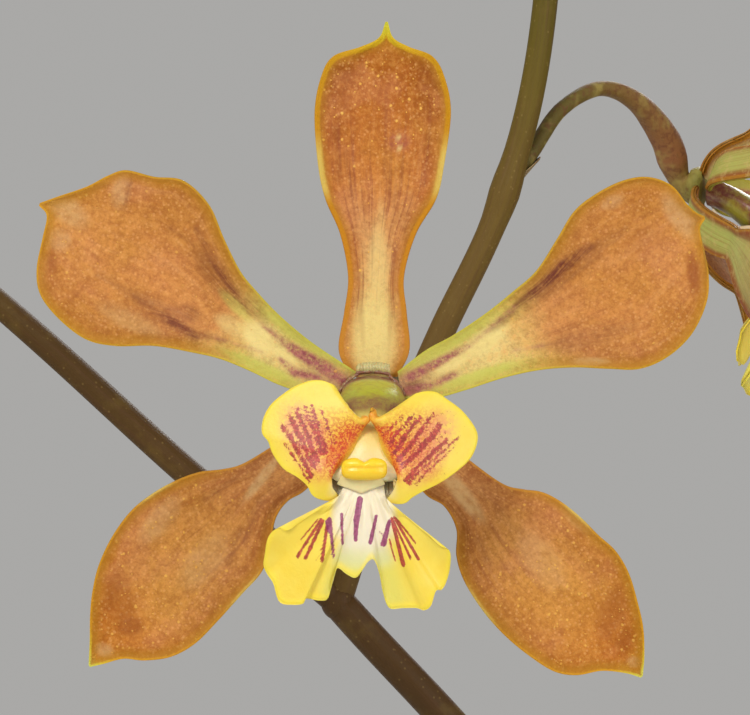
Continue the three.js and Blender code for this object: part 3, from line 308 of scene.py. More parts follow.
def plate(body, mid, thick, material=0, fields=None, edge=0.35, turn=False, ahead=None):
    """A closed plate round a grid of mid points, thinned to a soft rim. Fields are per grid point or plain."""
    rows, cols = mid.shape[:2]
    n = normals_of(mid)
    if turn:
        n = -n
    if ahead is not None:
        n = np.broadcast_to(np.asarray(ahead, float), n.shape)
    shape = np.broadcast_to(np.asarray(thick, float), (rows, cols)).copy()
    ring = np.ones((rows, cols))
    ring[0, :] = ring[-1, :] = ring[:, 0] = ring[:, -1] = edge
    shape = shape * ring
    front = mid + n * shape[..., None] / 2
    back = mid - n * shape[..., None] / 2
    flip = not turn
    loop = [(0, j) for j in range(cols)] + [(i, cols - 1) for i in range(1, rows)]
    loop += [(rows - 1, j) for j in range(cols - 2, -1, -1)] + [(i, 0) for i in range(rows - 2, 0, -1)]
    a = np.array([i * cols + j for i, j in loop])
    b = np.roll(a, -1)
    size = rows * cols
    rim = np.stack([a, b, b + size, a + size], -1)
    if turn:
        rim = rim[:, ::-1]
    faces = [grid_faces(rows, cols, 0, not flip), grid_faces(rows, cols, size, flip), rim]
    full = {}
    for name, value in (fields or {}).items():
        flat = np.broadcast_to(np.asarray(value, float), (rows, cols)).ravel()
        full[name] = np.concatenate([flat, flat])
    full["front"] = np.concatenate([np.ones(size), np.zeros(size)])
    body.add(np.concatenate([front.reshape(-1, 3), back.reshape(-1, 3)]), faces, material, **full)


def frames_along(centre, sideways=None):
    tangent = unit(np.gradient(centre, axis=0))
    if sideways is not None:
        b = np.broadcast_to(np.asarray(sideways, float), centre.shape)
        return unit(np.cross(b, tangent)), b
    n = np.zeros_like(centre)
    start = np.array([0, 0, 1.0]) if abs(tangent[0][2]) < 0.8 else np.array([0, -1.0, 0])
    last = unit(start - tangent[0] * np.dot(start, tangent[0]))
    for i, t in enumerate(tangent):
        last = unit(last - t * np.dot(last, t))
        n[i] = last
    return n, np.cross(tangent, n)


def tube(body, centre, radius, sides, material=0, sideways=None, fields=None, deep=None):
    """A closed tube. radius and deep are per ring and side, or plain numbers."""
    rings = len(centre)
    n, b = frames_along(centre, sideways)
    ang = around(sides)
    r1 = np.broadcast_to(np.asarray(radius if deep is None else deep, float), (rings, sides))
    r2 = np.broadcast_to(np.asarray(radius, float), (rings, sides))
    pts = centre[:, None] + n[:, None] * (r1 * np.cos(ang))[..., None] + b[:, None] * (r2 * np.sin(ang))[..., None]
    faces = [grid_faces(rings, sides, 0, False, True)]
    size = rings * sides
    full = {}
    t = np.linspace(0, 1, rings)[:, None]
    base = {"along": t, "round": ang, **(fields or {})}
    for name, value in base.items():
        flat = np.broadcast_to(np.asarray(value, float), (rings, sides)).ravel()
        full[name] = np.concatenate([flat, [flat[0], flat[-1]]])
    j = np.arange(sides)
    k = (j + 1) % sides
    top = (rings - 1) * sides
    faces.append(np.stack([np.full(sides, size), k, j], -1))
    faces.append(np.stack([np.full(sides, size + 1), top + j, top + k], -1))
    verts = np.concatenate([pts.reshape(-1, 3), centre[[0, -1]]])
    body.add(verts, faces, material, **full)


def flower_place(at, facing, size, turn):
    """The matrix of a flower: where it is, the way it faces, its size, and its turn about that way."""
    z = unit(facing)
    x = unit(np.cross([0, 0, 1.0], z))
    y = np.cross(z, x)
    c, s = math.cos(math.radians(turn)), math.sin(math.radians(turn))
    basis = np.stack([x, y, z], 1) @ np.array([[c, -s, 0], [s, c, 0], [0, 0, 1]])
    m = np.eye(4)
    m[:3, :3] = basis * size
    m[:3, 3] = at
    return m


# ---------------------------------------------------------------- materials
def rgb(r, g, b):
    """A linear colour from display values of 0 to 255."""
    out = []
    for c in (r, g, b):
        c /= 255
        out.append(c / 12.92 if c <= 0.04045 else ((c + 0.055) / 1.055) ** 2.4)
    return (*out, 1)


class Look:
    """A procedural material, put together from a few kinds of node."""

    def __init__(self, name, roughness=0.5, **fixed):
        self.mat = bpy.data.materials.new(name)
        self.mat.use_nodes = True
        self.tree = self.mat.node_tree
        self.bsdf = self.tree.nodes["Principled BSDF"]
        self.bsdf.inputs["Roughness"].default_value = roughness
        for key, value in fixed.items():
            self.bsdf.inputs[key.replace("_", " ")].default_value = value

    def new(self, kind, **props):
        node = self.tree.nodes.new(kind)
        for key, value in props.items():
            setattr(node, key, value)
        return node

    def feed(self, socket, value):
        if isinstance(value, bpy.types.NodeSocket):
            self.tree.links.new(value, socket)
        elif value is not None:
            socket.default_value = value

    def math(self, op, a, b=None):
        node = self.new("ShaderNodeMath", operation=op)
        for socket, value in zip(node.inputs, (a, b)):
            self.feed(socket, value)
        return node.outputs[0]

    def add(self, a, b):
        return self.math("ADD", a, b)

    def mul(self, a, b):
        return self.math("MULTIPLY", a, b)

    def field(self, name):
        return self.new("ShaderNodeAttribute", attribute_name=name).outputs["Fac"]

    def place(self):
        """The object's own coordinates, in millimetres."""
        coords = self.new("ShaderNodeTexCoord").outputs["Object"]
        node = self.new("ShaderNodeVectorMath", operation="SCALE")
        self.feed(node.inputs[0], coords)
        node.inputs["Scale"].default_value = 1 / MM
        return node.outputs[0]

    def vector(self, x, y, z=0.0):
        node = self.new("ShaderNodeCombineXYZ")
        for socket, value in zip(node.inputs, (x, y, z)):
            self.feed(socket, value)
        return node.outputs[0]

    def noise(self, where, scale, detail=3.0, rough=0.55, warp=0.0):
        node = self.new("ShaderNodeTexNoise")
        self.feed(node.inputs["Vector"], where)
        node.inputs["Scale"].default_value = scale
        node.inputs["Detail"].default_value = detail
        node.inputs["Roughness"].default_value = rough
        node.inputs["Distortion"].default_value = warp
        return node.outputs["Fac"]

    def cells(self, where, scale):
        node = self.new("ShaderNodeTexVoronoi", feature="F1")
        self.feed(node.inputs["Vector"], where)
        node.inputs["Scale"].default_value = scale
        return node

    def step(self, x, low, high, to_low=0.0, to_high=1.0):
        node = self.new("ShaderNodeMapRange", interpolation_type="SMOOTHSTEP")
        self.feed(node.inputs[0], x)
        for k, value in zip((1, 2, 3, 4), (low, high, to_low, to_high)):
            node.inputs[k].default_value = value
        return node.outputs[0]

    def ramp(self, x, stops):
        node = self.new("ShaderNodeValToRGB")
        self.feed(node.inputs[0], x)
        items = node.color_ramp.elements
        while len(items) < len(stops):
            items.new(0.5)
        for item, (at, *colour) in zip(items, stops):
            item.position = at
            item.color = rgb(*colour)
        return node.outputs[0]

    def off(self, x, much):
        """How far x is off 0.5, times much."""
        return self.mul(self.math("SUBTRACT", x, 0.5), much)

    def over(self, share, r, g, b, much=None):
        """One more layer of colour on the base."""
        share = share if much is None else self.mul(share, much)
        self.base = self.mix(share, self.base, rgb(r, g, b))

    def mix(self, share, a, b):
        node = self.new("ShaderNodeMix", data_type="RGBA", blend_type="MIX")
        self.feed(node.inputs[0], share)
        self.feed(node.inputs[6], a)
        self.feed(node.inputs[7], b)
        return node.outputs[2]

    def relief(self, height, strength, distance):
        node = self.new("ShaderNodeBump")
        node.inputs["Strength"].default_value = strength
        node.inputs["Distance"].default_value = distance
        self.feed(node.inputs["Height"], height)
        self.feed(self.bsdf.inputs["Normal"], node.outputs[0])

    def colour(self, value):
        self.feed(self.bsdf.inputs["Base Color"], value)

    def rough(self, value):
        self.feed(self.bsdf.inputs["Roughness"], value)


def tepal_look(name, centre, side, rim, rim_wide, rim_pale, dots, stripes, back):
    """centre, side, rim and back are colours along the length. rim_wide is the rim's width in millimetres and
    rim_pale the stretch where it is pale. dots and stripes are (amount, from, to) along the length."""
    k = Look(name, 0.5, Subsurface_Weight=0.08, Subsurface_Scale=0.0002)
    k.bsdf.inputs["Subsurface Radius"].default_value = (1.0, 0.4, 0.15)
    k.bsdf.inputs["Specular IOR Level"].default_value = 0.16
    t, u, e, front = k.field("along"), k.field("across"), k.field("edge"), k.field("front")
    place = k.place()
    wide = k.math("ABSOLUTE", u)
    cloud = k.noise(place, 0.34, 4, 0.65)
    fine = k.noise(place, 3.4, 4, 0.7)
    grain = k.noise(place, 1.3, 4, 0.7)
    wobble = k.add(t, k.off(cloud, 0.12))
    k.base = k.mix(k.step(k.add(wide, k.off(cloud, 0.7)), 0.25, 0.95),
                 k.ramp(wobble, centre), k.ramp(wobble, side))
    lengthwise = k.vector(k.mul(u, 3.6), k.mul(t, 0.9), k.field("seed"))
    veins = k.noise(lengthwise, 3.2, 3, 0.6, 0.2)
    amount, low, high = stripes
    where = k.mul(k.step(t, low, low + 0.12), k.step(t, high - 0.25, high, 1, 0))
    k.over(k.mul(k.mul(k.step(veins, 0.49, 0.66), amount), where), 136, 62, 48)
    k.over(k.mul(k.mul(k.step(veins, 0.48, 0.34), 0.22), where), 226, 166, 108)
    wash, bed = k.noise(place, 0.2, 3, 0.6), k.step(t, 0.28, 0.42)
    k.over(k.mul(k.mul(k.step(wash, 0.48, 0.66), 0.4), bed), 186, 124, 40)
    k.over(k.mul(k.mul(k.step(wash, 0.5, 0.36), 0.35), bed), 202, 130, 88)
    papillae = k.noise(place, 3.0, 4, 0.75)
    k.over(k.step(grain, 0.46, 0.66), 226, 156, 82, 0.22)
    k.over(k.step(grain, 0.54, 0.36), 150, 80, 32, 0.24)
    k.over(k.step(papillae, 0.48, 0.64), 230, 168, 90, 0.24)
    k.over(k.step(papillae, 0.52, 0.38), 146, 76, 30, 0.24)
    specks = k.cells(place, 2.6)
    k.over(k.step(specks.outputs["Distance"], 0.16, 0.34, 1, 0), 238, 178, 112, 0.3)
    torn = k.step(k.noise(lengthwise, 7.0, 4, 0.7), 0.32, 0.6)
    k.over(k.mul(k.field("grey"), k.step(grain, 0.3, 0.6, 0.45, 1)), 206, 168, 116)
    k.over(k.mul(k.field("cream"), k.step(grain, 0.25, 0.55, 0.7, 1)), 238, 216, 140)
    k.over(k.mul(k.field("green"), k.step(grain, 0.3, 0.6, 0.8, 1)), 202, 202, 96)
    k.over(k.mul(k.field("ember"), k.step(grain, 0.3, 0.6, 0.5, 1)), 146, 74, 26)
    rough = k.add(k.mul(k.noise(place, 1.6, 4, 0.75), 0.65), k.mul(torn, 0.22))
    k.over(k.mul(k.field("dark"), k.step(rough, 0.32, 0.58, 0.45, 0.95)), 104, 44, 36)
    k.base = k.mix(k.mul(k.field("wine"), k.step(k.noise(place, 2.2, 4, 0.8), 0.36, 0.58, 0.3, 0.92)), k.base,
                 k.mix(k.step(fine, 0.35, 0.65), rgb(142, 62, 80), rgb(180, 104, 104)))
    amount, low, high = dots
    spot = None
    for size, density in ((2.2, 0.22), (3.9, 0.16)):
        cells = k.cells(place, size)
        pick = k.new("ShaderNodeSeparateColor")
        k.feed(pick.inputs[0], cells.outputs["Color"])
        chance = k.math("LESS_THAN", pick.outputs[0], k.step(t, low, high, 0.02, density))
        near = k.add(cells.outputs["Distance"], k.off(fine, 0.5))
        here = k.mul(k.step(near, 0.12, 0.34, 1, 0), chance)
        spot = here if spot is None else k.math("MAXIMUM", spot, here)
    k.base = k.mix(k.mul(spot, amount), k.base, k.mix(grain, rgb(226, 150, 40), rgb(250, 206, 110)))
    ragged_edge = k.add(e, k.off(fine, 0.2))
    k.over(k.mul(k.step(ragged_edge, 0.2, 1.1, 0.7, 0), k.step(t, 0.22, 0.4, 0.2, 1)), 180, 124, 26)
    k.base = k.mix(k.step(ragged_edge, rim_wide - 0.2, rim_wide, 0.95, 0), k.base, k.ramp(t, rim))
    low, high = rim_pale
    pale = k.mul(k.step(t, low, low + 0.05), k.step(t, high - 0.05, high, 1, 0))
    k.over(k.mul(k.step(ragged_edge, rim_wide - 0.3, rim_wide + 0.1, 0.75, 0), pale), 224, 200, 104)
    under = k.mix(k.step(k.noise(lengthwise, 5.0, 3, 0.6), 0.4, 0.8, 0, 0.7), k.ramp(t, back), rgb(160, 116, 60))
    under = k.mix(k.step(wide, 0.45, 0.9), under, rgb(150, 82, 44))
    under = k.mix(k.step(e, 0.1, 0.4, 0.6, 0), under, rgb(200, 146, 44))
    under = k.mix(k.step(grain, 0.5, 0.64, 0, 0.4), under, rgb(214, 186, 120))
    k.colour(k.mix(front, under, k.base))
    k.rough(k.step(fine, 0.3, 0.7, 0.46, 0.62))
    height = k.add(k.mul(veins, 0.5), k.add(k.mul(grain, 0.5), k.add(k.mul(papillae, 0.9), k.mul(spot, 0.4))))
    k.relief(height, 0.6, 0.00014)
    return k.mat


GOLD_RIM = [(0.0, 194, 132, 46), (0.3, 198, 130, 22), (0.75, 202, 150, 20), (0.9, 212, 180, 32),
            (1.0, 208, 208, 60)]
BACK_SEPAL = [(0.0, 176, 186, 92), (0.3, 196, 196, 112), (0.6, 190, 160, 92), (0.85, 160, 104, 52),
              (1.0, 180, 170, 66)]
DORSAL = tepal_look(
    "dorsal_sepal_skin",
    [(0.0, 226, 200, 122), (0.16, 228, 200, 120), (0.26, 222, 178, 112), (0.34, 214, 156, 98),
     (0.44, 206, 134, 66), (0.53, 194, 116, 46), (0.62, 172, 94, 14), (0.78, 160, 88, 2),
     (0.9, 178, 116, 4), (1.0, 206, 204, 40)],
    [(0.0, 204, 142, 64), (0.16, 194, 120, 56), (0.33, 190, 112, 50), (0.46, 188, 108, 48),
     (0.55, 168, 92, 32), (0.65, 138, 72, 2), (0.8, 144, 80, 0), (0.92, 204, 152, 14),
     (1.0, 208, 204, 54)],
    GOLD_RIM, 0.5, (0.4, 0.56), (0.95, 0.46, 0.74), (0.6, 0.1, 0.72), BACK_SEPAL)
PETAL = tepal_look(
    "petal_skin",
    [(0.0, 190, 150, 112), (0.07, 204, 176, 116), (0.14, 226, 206, 128), (0.22, 234, 212, 138),
     (0.28, 224, 184, 108), (0.34, 202, 136, 76), (0.5, 206, 136, 70), (0.85, 202, 138, 62),
     (1.0, 196, 144, 60)],
    [(0.0, 186, 180, 92), (0.1, 200, 198, 96), (0.25, 200, 192, 92), (0.32, 190, 156, 76),
     (0.4, 172, 112, 48), (0.6, 180, 114, 46), (0.85, 180, 112, 34), (1.0, 200, 142, 34)],
    [(0.0, 196, 196, 80), (0.22, 202, 188, 66), (0.4, 204, 158, 42), (0.85, 208, 152, 30),
     (1.0, 214, 158, 40)],
    0.24, (2.0, 2.1), (0.5, 0.5, 1.1), (0.16, 0.3, 0.9),
    [(0.0, 180, 186, 92), (0.3, 198, 190, 110), (0.6, 180, 124, 70), (1.0, 180, 126, 54)])
LATERAL = tepal_look(
    "lateral_sepal_skin",
    [(0.0, 184, 128, 76), (0.2, 188, 130, 74), (0.3, 194, 130, 68), (0.45, 204, 142, 68),
     (0.62, 206, 144, 64), (0.76, 198, 124, 44), (0.88, 178, 100, 20), (0.95, 186, 122, 36),
     (0.985, 218, 212, 110), (1.0, 218, 216, 96)],
    [(0.0, 140, 80, 40), (0.2, 152, 90, 48), (0.35, 172, 104, 50), (0.5, 184, 120, 54),
     (0.7, 178, 108, 34), (0.88, 166, 90, 12), (0.96, 204, 166, 36), (1.0, 212, 210, 70)],
    [(0.0, 184, 124, 54), (0.3, 202, 140, 44), (0.88, 210, 152, 26), (0.95, 214, 196, 60),
     (1.0, 216, 218, 96)],
    0.26, (0.42, 0.56), (0.7, 0.1, 0.8), (0.3, 0.04, 0.75), BACK_SEPAL)
SKINS = {"dorsal_sepal": 0, "left_petal": 1, "right_petal": 1, "left_sepal": 2, "right_sepal": 2}


def lip_look():
    k = Look("lip_skin", 0.45, Subsurface_Weight=0.15, Subsurface_Scale=0.0005, Coat_Weight=0.05,
             Coat_Roughness=0.3)
    k.bsdf.inputs["Subsurface Radius"].default_value = (1.0, 0.6, 0.2)
    place = k.place()
    cloud = k.noise(place, 0.5, 3, 0.6)
    fine = k.noise(place, 5.0, 3, 0.6)
    k.base = k.mix(cloud, rgb(240, 205, 44), rgb(248, 227, 98))
    k.base = k.mix(k.mul(k.field("white"), 0.96), k.base, k.mix(cloud, rgb(228, 216, 186), rgb(246, 238, 216)))
    k.over(k.field("green"), 214, 220, 120, 0.7)
    k.over(k.step(k.field("edge"), 0.2, 0.7, 0.5, 0), 252, 226, 50)
    blotch = k.noise(place, 2.6, 4, 0.7)
    spots = k.noise(place, 5.4, 4, 0.75)
    k.over(k.mul(k.field("blush"), k.step(blotch, 0.32, 0.6, 0.2, 0.9)), 234, 152, 110)
    # orange over the wings: painted shade along each wing's deep inner edge beside the column and in the corner
    # under it, plus a real orange flush spread over the wing
    k.over(k.mul(k.field("flush"), k.step(blotch, 0.3, 0.65, 0.55, 1)), 230, 126, 30)
    k.over(k.mul(k.field("speck"), k.step(spots, 0.42, 0.56)), 204, 66, 30)
    torn = k.math("SUBTRACT", k.add(k.mul(k.noise(place, 3.0, 4, 0.8), 0.6), k.mul(spots, 0.4)), 0.5)
    crimson = k.mix(k.step(fine, 0.35, 0.65), rgb(142, 28, 34), rgb(194, 58, 56))
    broken = k.step(k.add(k.field("crimson"), k.mul(torn, k.add(1.2, k.mul(k.field("mottle"), 2.6)))), 0.36, 0.72)
    k.base = k.mix(k.mul(broken, 0.94), k.base, crimson)
    purple = k.mix(k.step(fine, 0.35, 0.65), rgb(128, 30, 88), rgb(164, 66, 118))
    drawn = k.step(k.add(k.field("purple"), k.mul(torn, 1.5)), 0.34, 0.8)
    k.base = k.mix(k.mul(drawn, 0.95), k.base, purple)
    k.colour(k.base)
    k.relief(k.add(k.mul(fine, 0.5), cloud), 0.35, 0.00012)
    return k.mat


def column_look():
    k = Look("column_skin", 0.4, Subsurface_Weight=0.2, Subsurface_Scale=0.0006, Coat_Weight=0.08,
             Coat_Roughness=0.25)
    place = k.place()
    fine = k.noise(place, 3.5, 3, 0.6)
    t = k.add(k.field("along"), k.off(fine, 0.06))
    k.base = k.ramp(t, [(0.0, 214, 190, 150), (0.12, 204, 196, 120), (0.24, 190, 190, 62),
                      (0.42, 178, 182, 50), (0.54, 176, 162, 62), (0.62, 226, 200, 108),
                      (0.8, 240, 214, 134), (1.0, 244, 234, 190)])
    mottle = k.noise(place, 1.8, 4, 0.75)
    k.over(k.mul(k.step(mottle, 0.45, 0.66), k.step(k.field("along"), 0.5, 0.6, 0.4, 0)), 146, 120, 60)
    k.over(k.mul(k.field("line"), k.step(mottle, 0.25, 0.6, 0.45, 1)), 128, 70, 62)
    k.over(k.field("shade"), 104, 72, 44, 0.8)
    k.colour(k.base)
    k.relief(fine, 0.3, 0.0001)
    return k.mat


def anther_look():
    k = Look("anther_skin", 0.35, Subsurface_Weight=0.15, Subsurface_Scale=0.0005, Coat_Weight=0.15,
             Coat_Roughness=0.2)
    fine = k.noise(k.place(), 4.0, 3, 0.6)
    k.base = k.mix(fine, rgb(252, 208, 12), rgb(255, 226, 60))
    k.over(k.field("shade"), 230, 168, 10, 0.5)
    k.colour(k.base)
    k.relief(fine, 0.25, 0.0001)
    return k.mat


def stem_look():
    k = Look("stem_skin", 0.55)
    k.bsdf.inputs["Specular IOR Level"].default_value = 0.22
    place = k.place()
    t = k.field("tint")
    k.base = k.ramp(t, [(0.0, 64, 42, 18), (0.3, 78, 54, 22), (0.55, 108, 84, 36),
                      (0.8, 104, 88, 26), (1.0, 96, 84, 22)])
    streak = k.noise(k.vector(k.mul(k.field("round"), 1.6), k.mul(k.field("run"), 0.05), 0.0), 2.2, 3, 0.6)
    k.over(k.step(streak, 0.45, 0.7), 92, 60, 40, 0.35)
    k.over(k.step(k.noise(place, 0.5, 3, 0.6), 0.5, 0.75), 120, 98, 44, 0.3)
    cells = k.cells(place, 1.7)
    k.over(k.step(cells.outputs["Distance"], 0.08, 0.2, 0.3, 0), 160, 134, 78)
    k.colour(k.base)
    k.relief(k.add(streak, k.mul(k.noise(place, 3.0, 3, 0.6), 0.5)), 0.35, 0.0002)
    return k.mat


def ovary_look():
    k = Look("ovary_skin", 0.55)
    k.bsdf.inputs["Specular IOR Level"].default_value = 0.25
    t = k.field("along")
    place = k.place()
    k.base = k.ramp(t, [(0.0, 92, 80, 34), (0.35, 106, 92, 40), (0.6, 136, 102, 56),
                      (0.85, 150, 98, 60), (1.0, 136, 134, 60)])
    k.over(k.step(k.noise(place, 1.6, 4, 0.7), 0.48, 0.62), 108, 58, 42, 0.5)
    k.over(k.step(k.noise(place, 0.6, 2, 0.6), 0.5, 0.7), 190, 176, 96, 0.4)
    k.colour(k.base)
    k.relief(k.noise(place, 3.2, 4, 0.7), 0.5, 0.0002)
    return k.mat


def bud_look():
    k = Look("bud_skin", 0.5, Coat_Weight=0.05, Coat_Roughness=0.4)
    t = k.field("along")
    place = k.place()
    ribs = k.noise(k.vector(k.mul(k.field("round"), 2.4), k.mul(t, 1.5), k.field("seed")), 2.4, 3, 0.6)
    k.base = k.ramp(t, [(0.0, 128, 122, 52), (0.4, 150, 138, 66), (0.7, 166, 116, 66),
                      (0.95, 170, 120, 60), (1.0, 186, 178, 80)])
    k.over(k.step(ribs, 0.48, 0.66), 124, 62, 44, 0.55)
    k.over(k.field("seam"), 206, 176, 72, 0.8)
    k.colour(k.base)
    k.relief(k.add(ribs, k.mul(k.noise(place, 3.0, 3, 0.6), 0.5)), 0.35, 0.0002)
    return k.mat


def husk_look(name, pale, dark, rough=0.75):
    k = Look(name, rough, Sheen_Weight=0.1)
    place = k.place()
    fibre = k.noise(k.vector(k.mul(k.field("round"), 5.0), k.mul(k.field("along"), 0.7), k.field("seed")), 3.2, 4,
                    0.7)
    k.base = k.mix(k.step(fibre, 0.3, 0.7), pale, dark)
    k.over(k.step(k.noise(place, 0.22, 3, 0.6), 0.5, 0.75), 96, 74, 52, 0.5)
    k.colour(k.base)
    k.relief(fibre, 0.8, 0.0004)
    return k.mat


def leaf_look():
    k = Look("leaf_skin", 0.36, Coat_Weight=0.15, Coat_Roughness=0.25, Subsurface_Weight=0.05,
             Subsurface_Scale=0.001)
    t, u, e, front = k.field("along"), k.field("across"), k.field("edge"), k.field("front")
    place = k.place()
    cloud = k.noise(place, 0.035, 4, 0.6)
    veins = k.noise(k.vector(k.mul(u, 16.0), k.mul(t, 1.4), k.field("seed")), 2.0, 3, 0.6)
    k.base = k.ramp(k.add(t, k.off(cloud, 0.3)),
                  [(0.0, 150, 158, 92), (0.12, 104, 134, 62), (0.4, 72, 112, 44),
                   (0.85, 64, 104, 42), (0.97, 104, 116, 46), (1.0, 138, 104, 56)])
    k.over(k.step(veins, 0.4, 0.7), 42, 78, 30, 0.35)
    k.over(k.step(k.math("ABSOLUTE", u), 0.0, 0.09, 0.75, 0), 132, 158, 84, 0.8)
    k.over(k.step(e, 0.15, 0.7, 0.6, 0), 134, 146, 70)
    fleck = k.step(k.noise(place, 0.42, 4, 0.7), 0.66, 0.74)
    k.over(fleck, 128, 108, 58, 0.5)
    under = k.mix(k.step(veins, 0.35, 0.7), rgb(126, 154, 82), rgb(96, 130, 62))
    k.colour(k.mix(front, under, k.base))
    k.rough(k.step(cloud, 0.3, 0.7, 0.3, 0.46))
    k.relief(k.add(veins, k.mul(k.noise(place, 0.3, 3, 0.6), 0.4)), 0.4, 0.0005)
    return k.mat


def bulb_look():
    k = Look("pseudobulb_skin", 0.42, Coat_Weight=0.12, Coat_Roughness=0.3, Subsurface_Weight=0.05,
             Subsurface_Scale=0.0015)
    t = k.field("along")
    place = k.place()
    cloud = k.noise(place, 0.06, 4, 0.6)
    grain = k.noise(k.vector(k.mul(k.field("round"), 7.0), k.mul(t, 1.2), k.field("seed")), 2.4, 4, 0.65)
    k.base = k.ramp(k.add(t, k.off(cloud, 0.35)),
                  [(0.0, 120, 104, 62), (0.15, 134, 138, 66), (0.45, 128, 150, 70),
                   (0.8, 112, 142, 62), (1.0, 140, 148, 86)])
    k.over(k.step(grain, 0.45, 0.7), 84, 108, 44, 0.4)
    k.over(k.field("furrow"), 82, 96, 42, 0.55)
    fleck = k.step(k.noise(place, 0.7, 4, 0.75), 0.64, 0.7)
    k.over(fleck, 112, 78, 48, 0.6)
    k.colour(k.base)
    k.relief(k.add(grain, k.mul(k.noise(place, 0.8, 3, 0.6), 0.4)), 0.5, 0.0006)
    return k.mat


def clay_look():
    k = Look("clay_skin", 0.85)
    place = k.place()
    cloud = k.noise(place, 0.02, 5, 0.6)
    grit = k.noise(place, 0.9, 4, 0.7)
    k.base = k.mix(cloud, rgb(196, 112, 74), rgb(172, 92, 58))
    k.over(k.step(grit, 0.52, 0.7), 214, 140, 98, 0.3)
    height = k.field("height")
    lime = k.mul(k.step(k.noise(place, 0.045, 5, 0.7), 0.46, 0.62), k.step(height, 0.0, 60.0, 1.0, 0.45))
    k.over(lime, 222, 196, 170, 0.5)
    damp = k.mul(k.step(k.noise(place, 0.03, 4, 0.6), 0.5, 0.68), k.step(height, 12.0, 70.0, 0.55, 0.0))
    k.over(damp, 120, 86, 56)
    moss = k.mul(k.step(k.noise(place, 0.12, 4, 0.7), 0.58, 0.7), k.step(height, 6.0, 40.0, 0.5, 0.0))
    k.over(moss, 98, 104, 60)
    k.over(k.mul(k.field("worn"), k.step(grit, 0.35, 0.6, 0.2, 0.8)), 226, 160, 118)
    rings = k.noise(k.vector(0.0, 0.0, height), 1.6, 3, 0.6)
    k.colour(k.base)
    k.rough(k.step(cloud, 0.3, 0.7, 0.78, 0.92))
    k.relief(k.add(k.mul(rings, 0.6), k.add(grit, k.mul(cloud, 0.5))), 0.5, 0.0008)
    return k.mat


def bark_look():
    k = Look("bark_skin", 0.88)
    place = k.place()
    tone = k.field("tone")
    k.base = k.ramp(k.add(tone, k.mul(k.math("SUBTRACT", k.noise(place, 0.16, 4, 0.7), 0.5), 0.5)),
                  [(0.0, 62, 40, 28), (0.35, 98, 64, 42), (0.65, 134, 90, 58), (1.0, 170, 124, 84)])
    grain = k.noise(k.vector(k.field("gx"), k.field("gy"), tone), 0.5, 5, 0.75)
    k.over(k.step(grain, 0.45, 0.65), 48, 32, 24, 0.55)
    k.colour(k.base)
    k.relief(k.add(grain, k.mul(k.noise(place, 0.8, 4, 0.7), 0.6)), 0.9, 0.0009)
    return k.mat


def root_look():
    k = Look("root_skin", 0.75)
    place = k.place()
    k.base = k.mix(k.step(k.noise(place, 0.22, 4, 0.65), 0.3, 0.7), rgb(206, 202, 182), rgb(158, 152, 124))
    k.over(k.step(k.noise(place, 0.5, 4, 0.75), 0.55, 0.66), 108, 84, 60, 0.7)
    k.over(k.field("tip"), 132, 160, 70)
    k.over(k.field("scale"), 128, 98, 64)
    k.colour(k.base)
    k.relief(k.noise(place, 1.6, 4, 0.7), 0.7, 0.0006)
    return k.mat


LIP = lip_look()
COLUMN = column_look()
ANTHER = anther_look()
STEM = stem_look()
OVARY = ovary_look()
BUD = bud_look()
BRACT = husk_look("bract_skin", rgb(186, 160, 112), rgb(130, 98, 62))
HUSK = husk_look("husk_skin", rgb(206, 186, 144), rgb(150, 118, 80))
LEAF = leaf_look()
BULB = bulb_look()
CLAY = clay_look()
BARK = bark_look()
ROOT = root_look()


